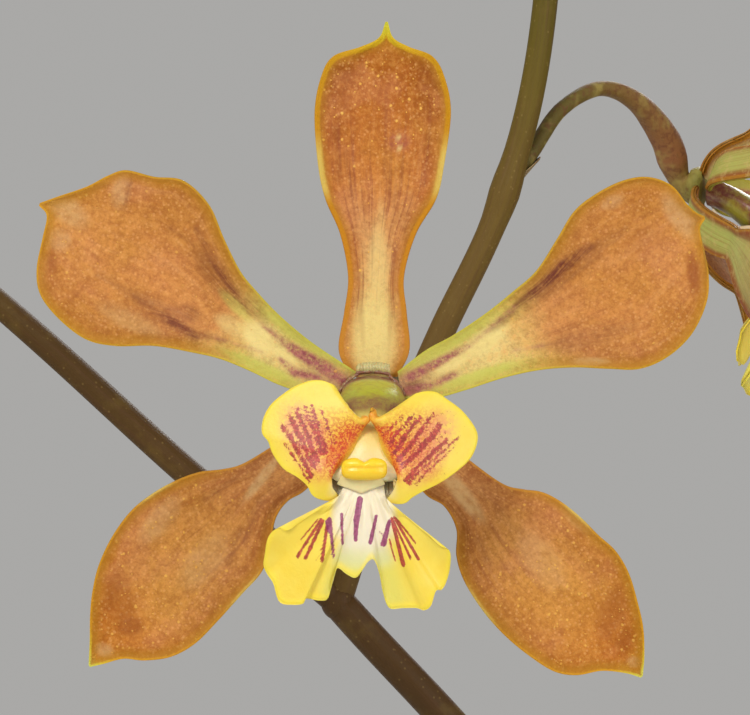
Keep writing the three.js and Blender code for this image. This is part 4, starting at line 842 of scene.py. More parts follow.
# ---------------------------------------------------------------- the flowers
def tepal_grid(name, rows, cols, close=0.0, detail=1.0):
    spec = TEPALS[name]
    t = np.linspace(0, 1, rows)
    t = np.sort(np.concatenate([t, 1 - 0.5 * (1 - t[1:-1:6]) ** 2 * 0.12]))[:, None] if detail > 0.9 else t[:, None]
    s = np.linspace(-1, 1, cols)[None, :]
    u = np.sign(s) * (1 - (1 - np.abs(s)) ** 1.25)
    left, right = spline(spec["left"], t[:, 0]), spline(spec["right"], t[:, 0])
    share = (u + 1) / 2
    p = left[:, None] + (right - left)[:, None] * share[..., None]
    half = np.linalg.norm(right - left, axis=1)[:, None] / 2
    z = spec["lift"] + spec["bow"] * np.sin(math.pi * t) - spec["reflex"] * t ** 3
    cup = lerp(spec["neck"], spec["blade"], smooth(t, 0.25, 0.5))
    z = z + cup * half * u ** 2 * smooth(t, 0.04, 0.16)
    side = {"left_petal": -1, "right_petal": 1}.get(name, 0)
    seed = sum(map(ord, name)) % 97
    wavy = waves(t * 5.0, u * 0.6, seed, 3, 2.2)
    z = z + 0.16 * wavy * np.abs(u) ** 2 * smooth(t, 0.25, 0.5) * half / 5
    z = z + 0.09 * np.cos(u * 9.4) * smooth(t, 0.1, 0.3) * (1 - smooth(t, 0.75, 0.95))
    z = z - 0.22 * np.exp(-(u / 0.16) ** 2) * smooth(t, 0.1, 0.3) * (1 - smooth(t, 0.8, 1))
    if side:
        fold = np.exp(-((u - side * 0.62) / 0.3) ** 2) * np.exp(-((t - 0.8) / 0.09) ** 2)
        z = z + 0.35 * fold
    z = np.broadcast_to(z, p.shape[:2])
    s_rim = np.linspace(0.02, 1, 130)
    margin = np.concatenate([spline(spec["left"], s_rim), spline(spec["right"], s_rim)])
    edge = np.full(z.shape, 99.0)
    for one in margin:
        edge = np.minimum(edge, np.hypot(p[..., 0] - one[0], p[..., 1] - one[1]))
    edge = np.minimum(edge, half * (1 - np.abs(u)))
    z = z + 0.16 * np.exp(-(edge / 0.3) ** 2) * smooth(t, 0.05, 0.2)
    flat_z = z
    lean = math.radians(close)
    reach = np.hypot(p[..., 0], p[..., 1])
    near = smooth(t, 0, 0.2)
    z = z + reach * math.sin(lean) * near
    xy = p * lerp(1, math.cos(lean), near)[..., None]
    fields = dict(along=t, across=u, edge=edge, seed=seed * 0.37)
    fields.update(marks_on(name, *as_seen(np.dstack([p, flat_z]))))
    return np.dstack([xy, z]), fields


PX_MM = 13.4
EYE = (0.22, 2.05)


def as_seen(grid):
    """Where points of the open flower lie in its front view, in the view's own grid of 13.4 to a millimetre."""
    k = 350 / (350 - grid[..., 2])
    x = EYE[0] + (grid[..., 0] - EYE[0]) * k
    y = EYE[1] + (grid[..., 1] - EYE[1]) * k
    return 372 + x * PX_MM, 385 - y * PX_MM


def bars(x, y, items, soften=1.0):
    """How much a point lies on one of the tapered strokes, 0 to 1."""
    out = np.zeros(x.shape)
    for (x0, y0), (x1, y1), w0, w1, strength in items:
        dx, dy = x1 - x0, y1 - y0
        s = np.clip(((x - x0) * dx + (y - y0) * dy) / (dx * dx + dy * dy), 0, 1)
        d = np.hypot(x - x0 - s * dx, y - y0 - s * dy)
        w = lerp(w0, w1, s) / 2
        out = np.maximum(out, strength * (1 - smooth(d, w - 0.8 * soften, w + 0.8 * soften)))
    return out


def patches(x, y, items):
    """The same for soft round patches: centre, reach along and across, and the way they lie in degrees."""
    out = np.zeros(x.shape)
    for (cx, cy), long, wide, turn, strength in items:
        c, s = math.cos(math.radians(turn)), math.sin(math.radians(turn))
        a, b = (x - cx) * c + (y - cy) * s, -(x - cx) * s + (y - cy) * c
        out = np.maximum(out, strength * (1 - smooth(np.hypot(a / long, b / wide), 0.45, 1.15)))
    return out


# Marks on the tepals: strokes from end to end with their widths and strength, and soft patches.
MARKS = {
    "dorsal_sepal": dict(
        dark=[((335, 128), (340, 180), 6, 4, 0.3), ((430, 135), (425, 186), 5, 4, 0.22),
              ((345, 150), (356, 212), 3, 2, 0.4), ((396, 182), (392, 232), 3, 2, 0.3),
              ((362, 190), (366, 236), 3, 2, 0.3), ((412, 190), (404, 236), 3, 2, 0.35)],
        cream=[((378, 268), 56, 11, 90, 0.42), ((374, 338), 54, 24, 90, 0.72), ((381, 222), 26, 5, 90, 0.2)],
        ember=[((360, 300), 60, 4, 86, 0.25), ((392, 300), 60, 4, 94, 0.25)],
        wine=[((399, 142), 13, 12, 0, 0.42)],
        light=[((398.5, 137), 3.2, 2.8, 0, 0.62), ((399.5, 148), 3.4, 2.4, 20, 0.62)]),
    "left_petal": dict(
        dark=[((196, 230), (216, 268), 5, 9, 0.55), ((213, 262), (236, 296), 9, 9, 0.8),
              ((234, 292), (250, 314), 8, 5, 0.6),
              ((170, 228), (196, 246), 3, 3, 0.45), ((98, 274), (138, 298), 5, 6, 0.35),
              ((134, 296), (170, 321), 6, 10, 0.6), ((166, 318), (196, 336), 11, 9, 0.85),
              ((192, 332), (224, 341), 8, 4, 0.5), ((144, 309), (192, 334), 2.5, 3, 0.5),
              # the last dark stroke is a painted shade line along the fold crease near the petal's tip
              ((58, 199), (106, 184), 2.5, 2.5, 0.7), ((132, 176), (125, 208), 2.5, 2, 0.6)],
        smear=[((188, 314), 18, 10, 12, 0.5), ((218, 276), 44, 16, 52, 0.45), ((160, 312), 50, 14, 28, 0.38),
               ((252, 306), 22, 10, 45, 0.4), ((352, 388), 16, 9, 30, 0.7)],
        wine=[((262, 325), (291, 348), 3, 8, 0.75), ((291, 348), (325, 368), 10, 14, 1),
              ((325, 368), (344, 382), 14, 9, 0.9),
              ((280, 359), (296, 373), 4, 9, 0.9), ((294, 372), (318, 378), 9, 6, 0.95),
              ((216, 338), (262, 352), 3, 3, 0.35)],
        cream=[((258, 338), 24, 14, 48, 0.9), ((284, 356), 20, 8, 36, 0.85), ((232, 326), 22, 10, 30, 0.4)],
        grey=[((121, 190), 22, 11, 100, 0.45), ((68, 210), 28, 15, 40, 0.55), ((60, 240), 14, 14, 0, 0.4),
              ((130, 320), 40, 12, 25, 0.35)],
        ember=[((52, 262), 16, 7, 90, 0.5), ((82, 192), 24, 5, -18, 0.5)],
        green=[((302, 336), 56, 9, 35, 0.9), ((262, 368), 46, 7, 24, 0.8), ((236, 306), 26, 7, 45, 0.5)]),
    "right_petal": dict(
        dark=[((626, 228), (588, 250), 3, 7, 0.5), ((590, 248), (560, 270), 10, 15, 0.75),
              ((564, 266), (528, 296), 13, 10, 1), ((532, 292), (514, 307), 11, 6, 0.8),
              ((620, 236), (584, 262), 2.5, 3, 0.4), ((600, 256), (560, 284), 4, 5, 0.5),
              ((624, 329), (586, 341), 2.5, 4, 0.5), ((590, 340), (541, 346), 4, 3.5, 0.6),
              ((578, 326), (545, 335), 2, 3, 0.35)],
        smear=[((505, 318), 24, 6, -42, 0.4), ((548, 280), 42, 17, -40, 0.5), ((590, 336), 60, 12, -14, 0.32),
               ((412, 388), 14, 8, -30, 0.7)],
        wine=[((514, 308), (494, 325), 5, 4, 0.6), ((494, 325), (468, 347), 4, 3, 0.5),
              ((469, 346), (441, 361), 4, 8, 0.95),
              ((441, 361), (410, 377), 8, 9, 1), ((456, 374), (435, 384), 5, 7, 0.9),
              ((435, 384), (406, 392), 7, 9, 0.9),
              ((541, 346), (512, 351), 3, 2.5, 0.4)],
        cream=[((484, 342), 30, 12, -35, 0.9), ((452, 364), 24, 7, -28, 0.85)],
        grey=[((680, 216), 32, 14, 55, 0.55), ((612, 202), 14, 8, -25, 0.4), ((590, 362), 22, 5, 0, 0.9)],
        ember=[((693, 272), 26, 8, 84, 0.75), ((640, 240), 30, 14, -30, 0.25)],
        green=[((445, 344), 62, 9, -31, 0.85), ((478, 376), 50, 7, -18, 0.85)]),
    "left_sepal": dict(
        dark=[((236, 478), (206, 500), 5, 8, 0.3), ((240, 530), (228, 566), 7, 6, 0.4),
              ((262, 500), (244, 540), 6, 6, 0.35)],
        grey=[((262, 478), 34, 6, 128, 0.85), ((160, 520), 34, 14, -52, 0.4), ((205, 560), 40, 20, -52, 0.35),
              ((104, 650), 12, 8, 20, 0.5)],
        ember=[((130, 626), 16, 12, 0, 0.75), ((120, 600), 34, 18, 70, 0.45)]),
    "right_sepal": dict(
        dark=[((494, 505), (520, 530), 5, 7, 0.15), ((478, 540), (490, 566), 6, 6, 0.3),
              ((462, 514), (472, 540), 6, 6, 0.2)],
        grey=[((462, 494), 40, 10, 52, 0.85), ((580, 520), 26, 10, 40, 0.4), ((540, 560), 40, 20, 52, 0.3),
              ((634, 662), 9, 7, 0, 0.4)],
        ember=[((612, 612), 34, 18, 110, 0.45), ((624, 640), 16, 10, 100, 0.5)]),
}


def marks_on(name, x, y):
    marks = MARKS[name]
    dark = np.maximum(bars(x, y, marks.get("dark", []), 4.6), patches(x, y, marks.get("smear", [])))
    wine = marks.get("wine", [])
    wine = patches(x, y, wine) if name == "dorsal_sepal" else bars(x, y, wine, 3.4)
    out = dict(dark=dark, wine=wine)
    for key in ("cream", "grey", "ember", "green"):
        out[key] = patches(x, y, marks.get(key, []))
    light = patches(x, y, marks.get("light", []))
    out["cream"] = np.maximum(out["cream"], light)
    out["wine"] = out["wine"] * (1 - light)
    return out


PURPLE_BARS = [
    ((360, 499), (356.4, 520), 6.2, 6.6, 1), ((356.4, 520), (355.6, 540), 6, 4, 1),
    ((341.5, 514), (342.5, 544), 3.6, 3, 0.9),
    ((329.6, 519), (333.7, 557), 4.4, 3, 1), ((327, 522), (329, 532), 5, 3, 1),
    ((376.3, 516), (370.2, 542.4), 3.4, 4.6, 0.95), ((389.3, 521), (383.4, 544), 4, 6.2, 1),
    ((379, 531), (384, 536), 2, 2, 0.7),
]
CRIMSON_BARS = [
    ((327, 526), (322, 560.7), 3.6, 3.6, 1), ((322.9, 521), (305.5, 558), 3.4, 4.0, 1),
    ((321.3, 519), (297.2, 556.5), 2.8, 3.2, 1), ((318, 519), (300.5, 540), 2.2, 2.2, 0.8),
    ((321, 547), (314.6, 565.6), 2, 2, 0.55), ((389.3, 539), (395, 560.7), 2.2, 2.2, 0.9),
    ((391.7, 519), (403.3, 564.8), 3.4, 4.6, 1), ((391.7, 517.5), (410.8, 559), 2.4, 2.6, 1),
    ((394.2, 517.5), (418.3, 559), 2.8, 3.4, 1), ((396.7, 519), (415.8, 543.3), 2.2, 2.4, 0.9),
    ((284.8, 442.9), (311.3, 481.4), 2.4, 3.0, 0.9), ((283.8, 427), (313, 477), 5.5, 5.0, 1),
    ((289.7, 417), (314.6, 467), 6.5, 6, 1), ((298, 412), (318, 460), 5.5, 6.5, 1),
    ((306.3, 408), (323, 453), 4.5, 5.5, 0.95), ((313, 406.4), (326, 453), 5, 5.5, 0.9),
    ((322.9, 411.4), (332.9, 442.9), 4, 5, 0.75), ((453.9, 445.4), (415.8, 482.4), 2.4, 3.2, 0.85),
    ((457.2, 437.1), (407.5, 482.4), 2.6, 4.0, 0.95), ((445.6, 439.6), (405.8, 480), 5, 5, 1),
    ((439, 428), (404.2, 467), 7.5, 5.5, 1), ((431.5, 415.4), (399.2, 460), 4.6, 6, 1),
    ((419, 418), (392.6, 453), 5, 6, 0.95), ((412.5, 416.4), (389.3, 443), 4.6, 5.6, 0.85),
    ((402.5, 418), (385.9, 433), 4, 5, 0.6),
]


def lobe_grid(spec, rows, bands):
    """Points of a lobe: rows along its margin, and from its root to the margin in bands of so many steps."""
    u = np.linspace(0, 1, rows)
    lines = [np.array(a)[None] + (np.array(b) - np.array(a))[None] * u[:, None] for a, b in spec["lines"]]
    lines.append(spline(spec["margin"], u))
    stack = np.stack(lines, 1)
    v = [np.linspace(k, k + 1, n, endpoint=False) for k, n in enumerate(bands)]
    v = np.concatenate([*v, [len(bands)]]) / len(bands)
    grid = np.stack([spline(row, v) for row in stack])
    return grid, u[:, None], v[None, :]


def edge_distance(grid):
    """From each point of a lobe to the end of its row, on the margin."""
    return np.linalg.norm(grid - grid[:, -1:], axis=-1)


def lip_parts(body, fine):
    k = LIP_DETAIL if fine else LIP_DETAIL_FAR
    n = lambda x: max(3, int(round(x * k)))
    for spec, sign in ((LEFT_WING, -1), (RIGHT_WING, 1)):
        grid, u, v = lobe_grid(spec, n(110) + 1, [n(5), n(10), n(76)])
        out = smooth(v, 2 / 3, 1.0)
        belly = np.sin(math.pi * np.clip((v - 2 / 3) * 3, 0, 1))
        grid[..., 2] += 0.42 * belly * (0.5 + 0.5 * np.sin(math.pi * u))
        calm = smooth(u, 0.06, 0.2) * (1 - smooth(u, 0.86, 0.97))
        grid[..., 2] += 0.12 * waves(u * 6, v * 2, 5 + sign, 3, 1.6) * out * calm
        x, y = as_seen(grid)
        wx = x + 1.6 * waves(x / 7, y / 7, 91 + sign, 3, 1.0)
        wy = y + 1.6 * waves(x / 7, y / 7, 95 + sign, 3, 1.0)
        front = smooth(v, 0.62, 0.7)
        dist = edge_distance(grid)
        crimson = 0.94 * bars(wx, wy, CRIMSON_BARS, 2.8) * front
        centre, tilt = ((308, 440), 62) if sign < 0 else ((426, 447), -58)
        crimson = np.maximum(crimson, 0.3 * patches(x, y, [(centre, 44, 22, tilt, 1)]) * front)
        blush = patches(x, y, [(centre, 46, 25, tilt, 1)]) * front
        inner = (1 - smooth(v, 2 / 3 + 0.02, 2 / 3 + 0.14)) * front * (1 - smooth(u, 0.86, 0.97))
        horn = (1 - smooth(np.hypot(x - 370, y - 414), 6, 16)) * front
        patch_x = (x - 372) * sign
        spread = smooth(patch_x, 2, 30) * (1 - smooth(patch_x, 52, 78)) * smooth(y, 400, 425)
        speck = np.clip(inner + spread * 0.55, 0, 1) * (1 - smooth(y, 470, 486)) * front
        # orange mark: painted shade along the wing's deep inner edge (inner) and in the corner under the column
        # (horn); spread is the wing's real orange flush
        flush = np.clip(inner * 0.95 + horn * 0.8 + spread * 0.2, 0, 1) * (1 - smooth(y, 478, 492))
        white = (1 - smooth(v, 0.3, 0.6)) * 0.9 + smooth(u, 0.9, 0.99) * 0.45
        fields = dict(crimson=crimson, blush=blush, mottle=front, purple=0.0, speck=speck,
                      flush=flush,
                      white=np.clip(white, 0, 1), green=0.0, edge=dist + (1 - front) * 2)
        plate(body, grid, 0.5, 0, fields, 0.4, turn=sign > 0)
    grid, u, v = lobe_grid(APRON, n(240) + 1, [n(8), n(88)])
    grid[..., 2] += 0.5 * np.sin(math.pi * smooth(v, 0.45, 1))
    middle, fall = grid[..., 0] + 0.62, -(grid[..., 1] + 5.2)
    angle = np.arctan2(middle, fall)
    reach = np.hypot(middle, fall)
    calm = smooth(u, 0.0, 0.1) * (1 - smooth(u, 0.9, 1.0))
    lobes = smooth(np.abs(angle), 0.2, 0.42) * calm
    pleat = np.cos(angle * 15.0 + 0.6) * 0.26 * smooth(reach, 5.4, 9.5) * lobes
    dip = -0.3 * np.exp(-((np.abs(angle) - 0.23) / 0.07) ** 2) * smooth(reach, 5.5, 8)
    grid[..., 2] += pleat + dip + 0.2 * np.exp(-(angle / 0.1) ** 2) * smooth(reach, 4.5, 7.5)
    grid[..., 2] += 0.06 * np.cos(angle * 34) * smooth(reach, 2.2, 3.4) * (1 - smooth(reach, 5.0, 7.0)) * calm
    x, y = as_seen(grid)
    white = 1 - smooth(reach + 4.2 * smooth(np.abs(angle), 0.3, 0.8), 5.2, 7.2)
    white = np.maximum(white, (1 - smooth(np.abs(angle), 0.2, 0.34)) * (1 - smooth(reach, 7.4, 8.6)))
    green = (1 - smooth(np.abs(angle), 0.2, 0.4)) * smooth(reach, 6.0, 7.6)
    fields = dict(crimson=bars(x, y, CRIMSON_BARS, 1.5) * smooth(y, 505, 515), purple=bars(x, y, PURPLE_BARS, 1.5),
                  mottle=0.0, speck=0.0, flush=0.0, blush=0.0,
                  white=np.clip(white, 0, 1), green=np.clip(green, 0, 1) * 0.8,
                  edge=edge_distance(grid))
    plate(body, grid, 0.45, 0, fields, 0.4, turn=True, ahead=(0, 0, 1))
    claw = np.array([(0, -2.4, 1.2), (-0.2, -4.0, 3.6), (-0.4, -6.0, 6.0), (-0.7, -8.3, 8.7)])
    t = np.linspace(0, 1, n(30))
    centre = spline(claw, t)
    wide = lerp(1.0, 1.9, t)
    s = np.linspace(-1, 1, n(14))
    strap = centre[:, None] + np.stack([wide[:, None] * s[None], 0.25 * (s ** 2)[None] + 0 * t[:, None],
                                        0 * wide[:, None] * s[None]], -1)
    blank = dict.fromkeys(("mottle", "crimson", "blush", "purple", "speck", "flush", "green"), 0.0)
    plate(body, strap, 0.7, 0, dict(blank, white=1.0, edge=2.0), 0.5)


def column_parts(body, fine):
    rings, sides = (90, 56) if fine else (24, 20)
    t = np.linspace(0, 1, rings)
    centre = evened(lambda s: spline(COLUMN_PATH, s))(t)
    wide = spline(np.array(COLUMN_WIDE)[:, None], t)[:, 0]
    deep = spline(np.array(COLUMN_DEEP)[:, None], t)[:, 0]
    ang = around(sides)
    box = 1 + 0.06 * np.cos(4 * ang)[None] * smooth(t, 0.5, 0.8)[:, None]
    trim = (1 - 0.3 * smooth(t, 0.96, 1.0))[:, None]
    ridge = 1 + 0.10 * np.exp(-(((ang + math.pi) % TAU - math.pi) / 0.3) ** 2)[None] * smooth(t, 0.3, 0.6)[:, None]
    line = (1 - smooth(t, 0.12, 0.22))[:, None] * np.ones(sides)[None]
    line = line + (smooth(t, 0.1, 0.2) * (1 - smooth(t, 0.5, 0.58)))[:, None] * np.abs(np.sin(ang))[None] ** 5
    line = line + (smooth(t, 0.4, 0.5) * (1 - smooth(t, 0.52, 0.6)))[:, None] * 0.75
    shade = (smooth(t, 0.44, 0.5) * (1 - smooth(t, 0.56, 0.62)))[:, None] * (np.cos(ang)[None] > -0.4) * 0.8
    tube(body, centre, wide[:, None] * box * trim, sides, 0, sideways=(1, 0, 0),
         fields=dict(line=np.clip(line, 0, 1), shade=shade), deep=deep[:, None] * box * trim * ridge)
    if fine:
        collar_and_flaps(body)
        column_tip(body)


def collar_and_flaps(body):
    """The creased collar above the column, and the thin folded flaps beside its tip."""
    s, q = np.meshgrid(np.linspace(0, 1, 12), np.linspace(-1, 1, 96), indexing="ij")
    ribs = np.sin(q * 34 + 0.6 * np.sin(s * 5))
    p = np.dstack([0.08 + q * (1.16 + 0.12 * s), 1.68 - 0.8 * s - 0.16 * q ** 2,
                   0.95 + 0.28 * np.sin(math.pi * s) + 0.035 * ribs - 0.25 * q ** 2])
    plate(body, p, 0.24, 0, dict(along=0.08, line=0.12 + 0.3 * (ribs < -0.5), shade=0.0, round=0.0), 0.6)
    for ends in ([(-1.2, 0.9), (0.08, 1.02), (1.36, 0.8)], [(-1.0, 0.85), (-1.8, 0.3), (-2.5, -0.55)],
                 [(1.25, 0.7), (1.9, 0.1), (2.45, -0.75)]):
        line = evened(lambda t, e=ends: spline([(x, y, 1.15) for x, y in e], t))(np.linspace(0, 1, 50))
        r = (0.15 + 0.03 * np.sin(np.linspace(0, 22, 50))) * np.sin(np.linspace(0.25, math.pi - 0.25, 50)) ** 0.4
        tube(body, line, r[:, None], 10, 0, fields=dict(along=0.1, line=0.9, shade=0.0))
    for sign, x0 in ((-1, -2.9), (1, 1.55)):
        s, q = np.meshgrid(np.linspace(0, 1, 26), np.linspace(-1, 1, 12), indexing="ij")
        x = x0 + sign * 1.0 * s * (1.0 if sign < 0 else 1.15)
        y = -7.2 + 0.3 * q - 0.25 * s + 0.08 * np.sin(s * 16)
        z = 9.25 + 0.12 * np.cos(q * 4 + s * 7) - 0.2 * s
        shade = 0.3 * (np.sin(s * 9 + q * 3) > 0.1)
        plate(body, np.dstack([x, y, z]), 0.16, 0, dict(along=0.85, line=0.0, shade=shade, round=0.0), 0.5)


def column_tip(body):
    """The thin pointed flap under the cap, drawn down over the lip's root."""
    s, q = np.meshgrid(np.linspace(0, 1, 24), np.linspace(-1, 1, 34), indexing="ij")
    low = -7.86 + 0.72 * np.abs(q) ** 0.9
    x = -0.8 + 1.75 * q * (0.7 + 0.3 * s)
    y = lerp(-6.0, low, s)
    z = 9.5 - 0.42 * s ** 2 - 0.12 * q ** 2 + 0.05 * np.cos(q * 2.2) + 0.02 * np.sin(q * 14) * s
    line = np.exp(-((1 - s) / 0.05) ** 2) * 0.5 * (1 - smooth(np.abs(q), 0.3, 0.8))
    plate(body, np.dstack([x, y, z]), 0.16, 0, dict(along=0.8 + 0.12 * s, line=line, shade=0.0, round=0.0), 0.6)


def anther_part(body, fine):
    rings, sides = (26, 72) if fine else (8, 20)
    r = np.linspace(0, 1, rings)[:, None]
    a = around(sides)[None]
    cx, cy, cz = -0.56, -6.03, 9.75
    ca, sa = np.cos(a), np.sin(a)
    half_w = 1.66 * np.sign(ca) * np.abs(ca) ** 0.72
    top = 0.84 * np.abs(sa) ** 0.6 - 0.34 * np.exp(-(half_w / 0.36) ** 2)
    low = -0.84 * np.abs(sa) ** 0.55
    y_out = np.where(sa > 0, top, low)
    x = cx + half_w * r
    y = cy + y_out * r
    lip = 0.1 * np.exp(-((y - cy - 0.1) / 0.16) ** 2)
    z = cz + 0.62 * np.sqrt(np.clip(1 - r ** 2.6, 0, 1)) - lip * (r < 0.93) + 0 * a
    crease = np.exp(-((y - cy - 0.1) / 0.12) ** 2) * (np.abs(x - cx) < 1.45)
    crease = np.maximum(crease, 0.6 * (1 - smooth(y - cy, -0.3, 0.1)))
    pts = np.dstack([x, y, z])
    back = pts.copy()
    back[..., 2] = cz - 0.3 * (1 - r ** 2)
    faces = [grid_faces(rings, sides, 0, False, True), grid_faces(rings, sides, rings * sides, True, True)]
    shade = np.concatenate([crease.ravel(), crease.ravel() * 0])
    body.add(np.concatenate([pts.reshape(-1, 3), back.reshape(-1, 3)]), faces, 0, shade=shade)


def flower_middle(prefix, node, place, fine):
    """The lip, the column and the anther cap. Far flowers have all three in one node."""
    for part, fill, skin in (("lip", lip_parts, LIP), ("column", column_parts, COLUMN),
                             ("anther", anther_part, ANTHER)):
        body = Body()
        fill(body, fine)
        own = "anther_cap" if fine and part == "anther" else part
        body.build(f"{prefix}_{own}", [skin], f"{node}_{own if fine else 'lip'}", place)


FORWARD = (0, 0, 1)
HERO = flower_place(HERO_AT, (0, -1, 0), 1, 0)
for name in TEPALS:
    grid, fields = tepal_grid(name, *FRONT_GRID)
    body = Body()
    plate(body, grid, TEPAL_THICK, 0, fields, 0.3, ahead=FORWARD)
    body.build(f"front_{name}", [[DORSAL, PETAL, LATERAL][SKINS[name]]], f"hero_{name}", HERO)
flower_middle("front", "hero", HERO, True)

for k, bloom in enumerate(BLOOMS, 1):
    place = flower_place(bloom["at"], bloom["facing"], bloom["size"], bloom["turn"])
    near = "close" in bloom
    body = Body()
    for name in TEPALS:
        grid, fields = tepal_grid(name, *(NEAR_GRID if near else FAR_GRID), bloom.get("close", 0), 0.5)
        fields["seed"] = fields["seed"] + k * 3.1
        plate(body, grid, TEPAL_THICK, SKINS[name], fields, 0.3, ahead=None if near else FORWARD)
    body.build(f"flower_{k}_tepals", [DORSAL, PETAL, LATERAL], f"bloom_{k}_tepals", place)
    flower_middle(f"flower_{k}", f"bloom_{k}", place, False)


# ---------------------------------------------------------------- the flower stem
def pedicel_line(place, bloom):
    foot = branch(bloom["on"])(np.array([bloom["share"]]))[0]
    axis = unit(place[:3, 2])
    tail = 4 * GAP if "via" in bloom else GAP
    back = (place @ np.array([0, 0, HUB_BACK - tail, 1]))[:3]
    if "via" in bloom:
        seat = (place @ np.array([0, 0, -0.35, 1]))[:3]
        return evened(lambda t: spline([foot, *bloom["via"], back, seat], t))
    span = np.linalg.norm(back - foot)
    flat = unit((back - foot) * (1, 1, 0))
    leave = unit(flat * 0.8 + np.array([0, 0, 0.7]))
    back = back + axis * 0.8
    first, second = foot + leave * span * 0.42, back - axis * span * 0.4

    def bezier(t):
        t = np.asarray(t, float)[..., None]
        return ((1 - t) ** 3 * foot + 3 * t * (1 - t) ** 2 * first + 3 * t * t * (1 - t) * second + t ** 3 * back)

    return evened(bezier)


def bract(body, at, way, out, length, width, seed, material=0):
    """A small pointed scale that hugs a stem."""
    s, q = np.meshgrid(np.linspace(0, 1, 14), np.linspace(-1, 1, 9), indexing="ij")
    w = width * np.sin(math.pi * np.clip(0.28 + 0.72 * s, 0, 1)) ** 0.8 + 0.03
    side = unit(np.cross(way, out))
    curl = q * w / max(width * 0.9, 0.4)
    p = (np.asarray(at) + way * (s * length)[..., None] + side * (np.sin(curl) * width * 0.9)[..., None]
         + out * ((np.cos(curl) - 1) * width * 0.7 + 0.25 * s ** 2 * length * 0.3)[..., None])
    plate(body, p, 0.16, material, dict(along=s, round=q, seed=seed), 0.5)


TINTS = {"stalk": (0.25, 0.3), "rachis": (0.62, 1.0), "left": (0.3, 0.5), "right": (0.5, 0.8), "low": (0.45, 0.8),
         "back": (0.5, 0.8)}
STEM_SIDES, BUD_SIDES, SHEATH_SIDES, SHEATH_RINGS, SHEATH_LENGTH = 18, 30, 24, 26, 13
PEDICEL_RADIUS = 0.62
stem = Body()
scales = Body()
for name, spec in BRANCHES.items():
    line = branch(name)
    rings = int(line.length / 1.2) + 2
    t = np.linspace(0, 1, rings)
    c = line(t)
    ang = around(STEM_SIDES)
    low, high = spec["r"]
    r = lerp(low, high, t)[:, None] * (1 + 0.05 * waves(ang[None], t[:, None] * line.length / 9, 3, 3))
    r = r * (1 + 0.03 * np.cos(ang * 5)[None])
    if name == "rachis":
        r = r * (1 + 0.22 * np.exp(-((t - NODE_SHARE) / 0.012) ** 2)[:, None])
    a, b = TINTS[name]
    tint = np.interp(c[:, 2], [480, 500, 516, 530], [0.4, 0.5, 0.62, 0.95]) if name == "rachis" else lerp(a, b, t)
    tube(stem, c, r, STEM_SIDES, 0, fields=dict(tint=tint[:, None], run=(t * line.length)[:, None]))
for centre, size in ((FORK, 1.42), (BRANCHES["right"]["p"][0], 1.5), (BRANCHES["low"]["p"][0], 1.6)):
    s = np.linspace(0, math.pi, 25)
    c = np.array(centre) + np.stack([0 * s, 0 * s, -np.cos(s) * size * 1.1], -1)
    tube(stem, c, np.maximum(np.sin(s), 0.02)[:, None] * size, STEM_SIDES, 0, fields=dict(tint=0.3, run=0.0))
for share in SHEATHS:
    line = branch("stalk")
    at = line(np.array([share, share + 0.004]))
    way = unit(at[1] - at[0])
    c = at[0] + way * np.linspace(0, SHEATH_LENGTH, SHEATH_RINGS)[:, None]
    ang = around(SHEATH_SIDES)
    radius = lerp(*BRANCHES["stalk"]["r"], share)
    t = np.linspace(0, 1, SHEATH_RINGS)[:, None]
    open_side = 0.35 * smooth(t, 0.4, 1.0) * (0.5 + 0.5 * np.cos(ang))[None]
    tube(scales, c, radius + 0.62 - 0.2 * t + open_side * 0.4, SHEATH_SIDES, 0,
         fields=dict(seed=share * 9))
pedicels = [(HERO, dict(on="rachis", share=0.09, size=1.0))]
pedicels += [(flower_place(b["at"], b["facing"], b["size"], b["turn"]), b) for b in BLOOMS]
ovaries = Body()
for k, (place, bloom) in enumerate(pedicels):
    line = pedicel_line(place, bloom)
    rings = int(line.length / 0.6) + 8
    t = np.linspace(0, 1, rings)
    ang = around(STEM_SIDES)
    r = lerp(PEDICEL_RADIUS, 1.4 * bloom["size"], smooth(t, 0.45, 0.88)) * (1 - 0.3 * smooth(t, 0.84, 0.93))
    r = r + (0.15 if k == 0 else 0.8) * bloom["size"] * smooth((1 - t) * line.length, 2.4, 0.6)
    r = r[:, None] * (1 + 0.07 * np.cos(3 * ang)[None] * smooth(t, 0.5, 0.8)[:, None])
    r = r + 0.04 * waves(ang[None] * 2, t[:, None] * 26, 20 + k, 3, 1.3)
    tube(ovaries, line(t), r, STEM_SIDES)
    way = unit(line(np.array([0.06]))[0] - line(np.array([0.0]))[0])
    out = unit(np.cross(way, np.cross([0, 0, -1.0], way)))
    bract(scales, line(np.array([0.0]))[0] + out * 0.5, way, out, 4.2, 1.1, k)
buds = Body()
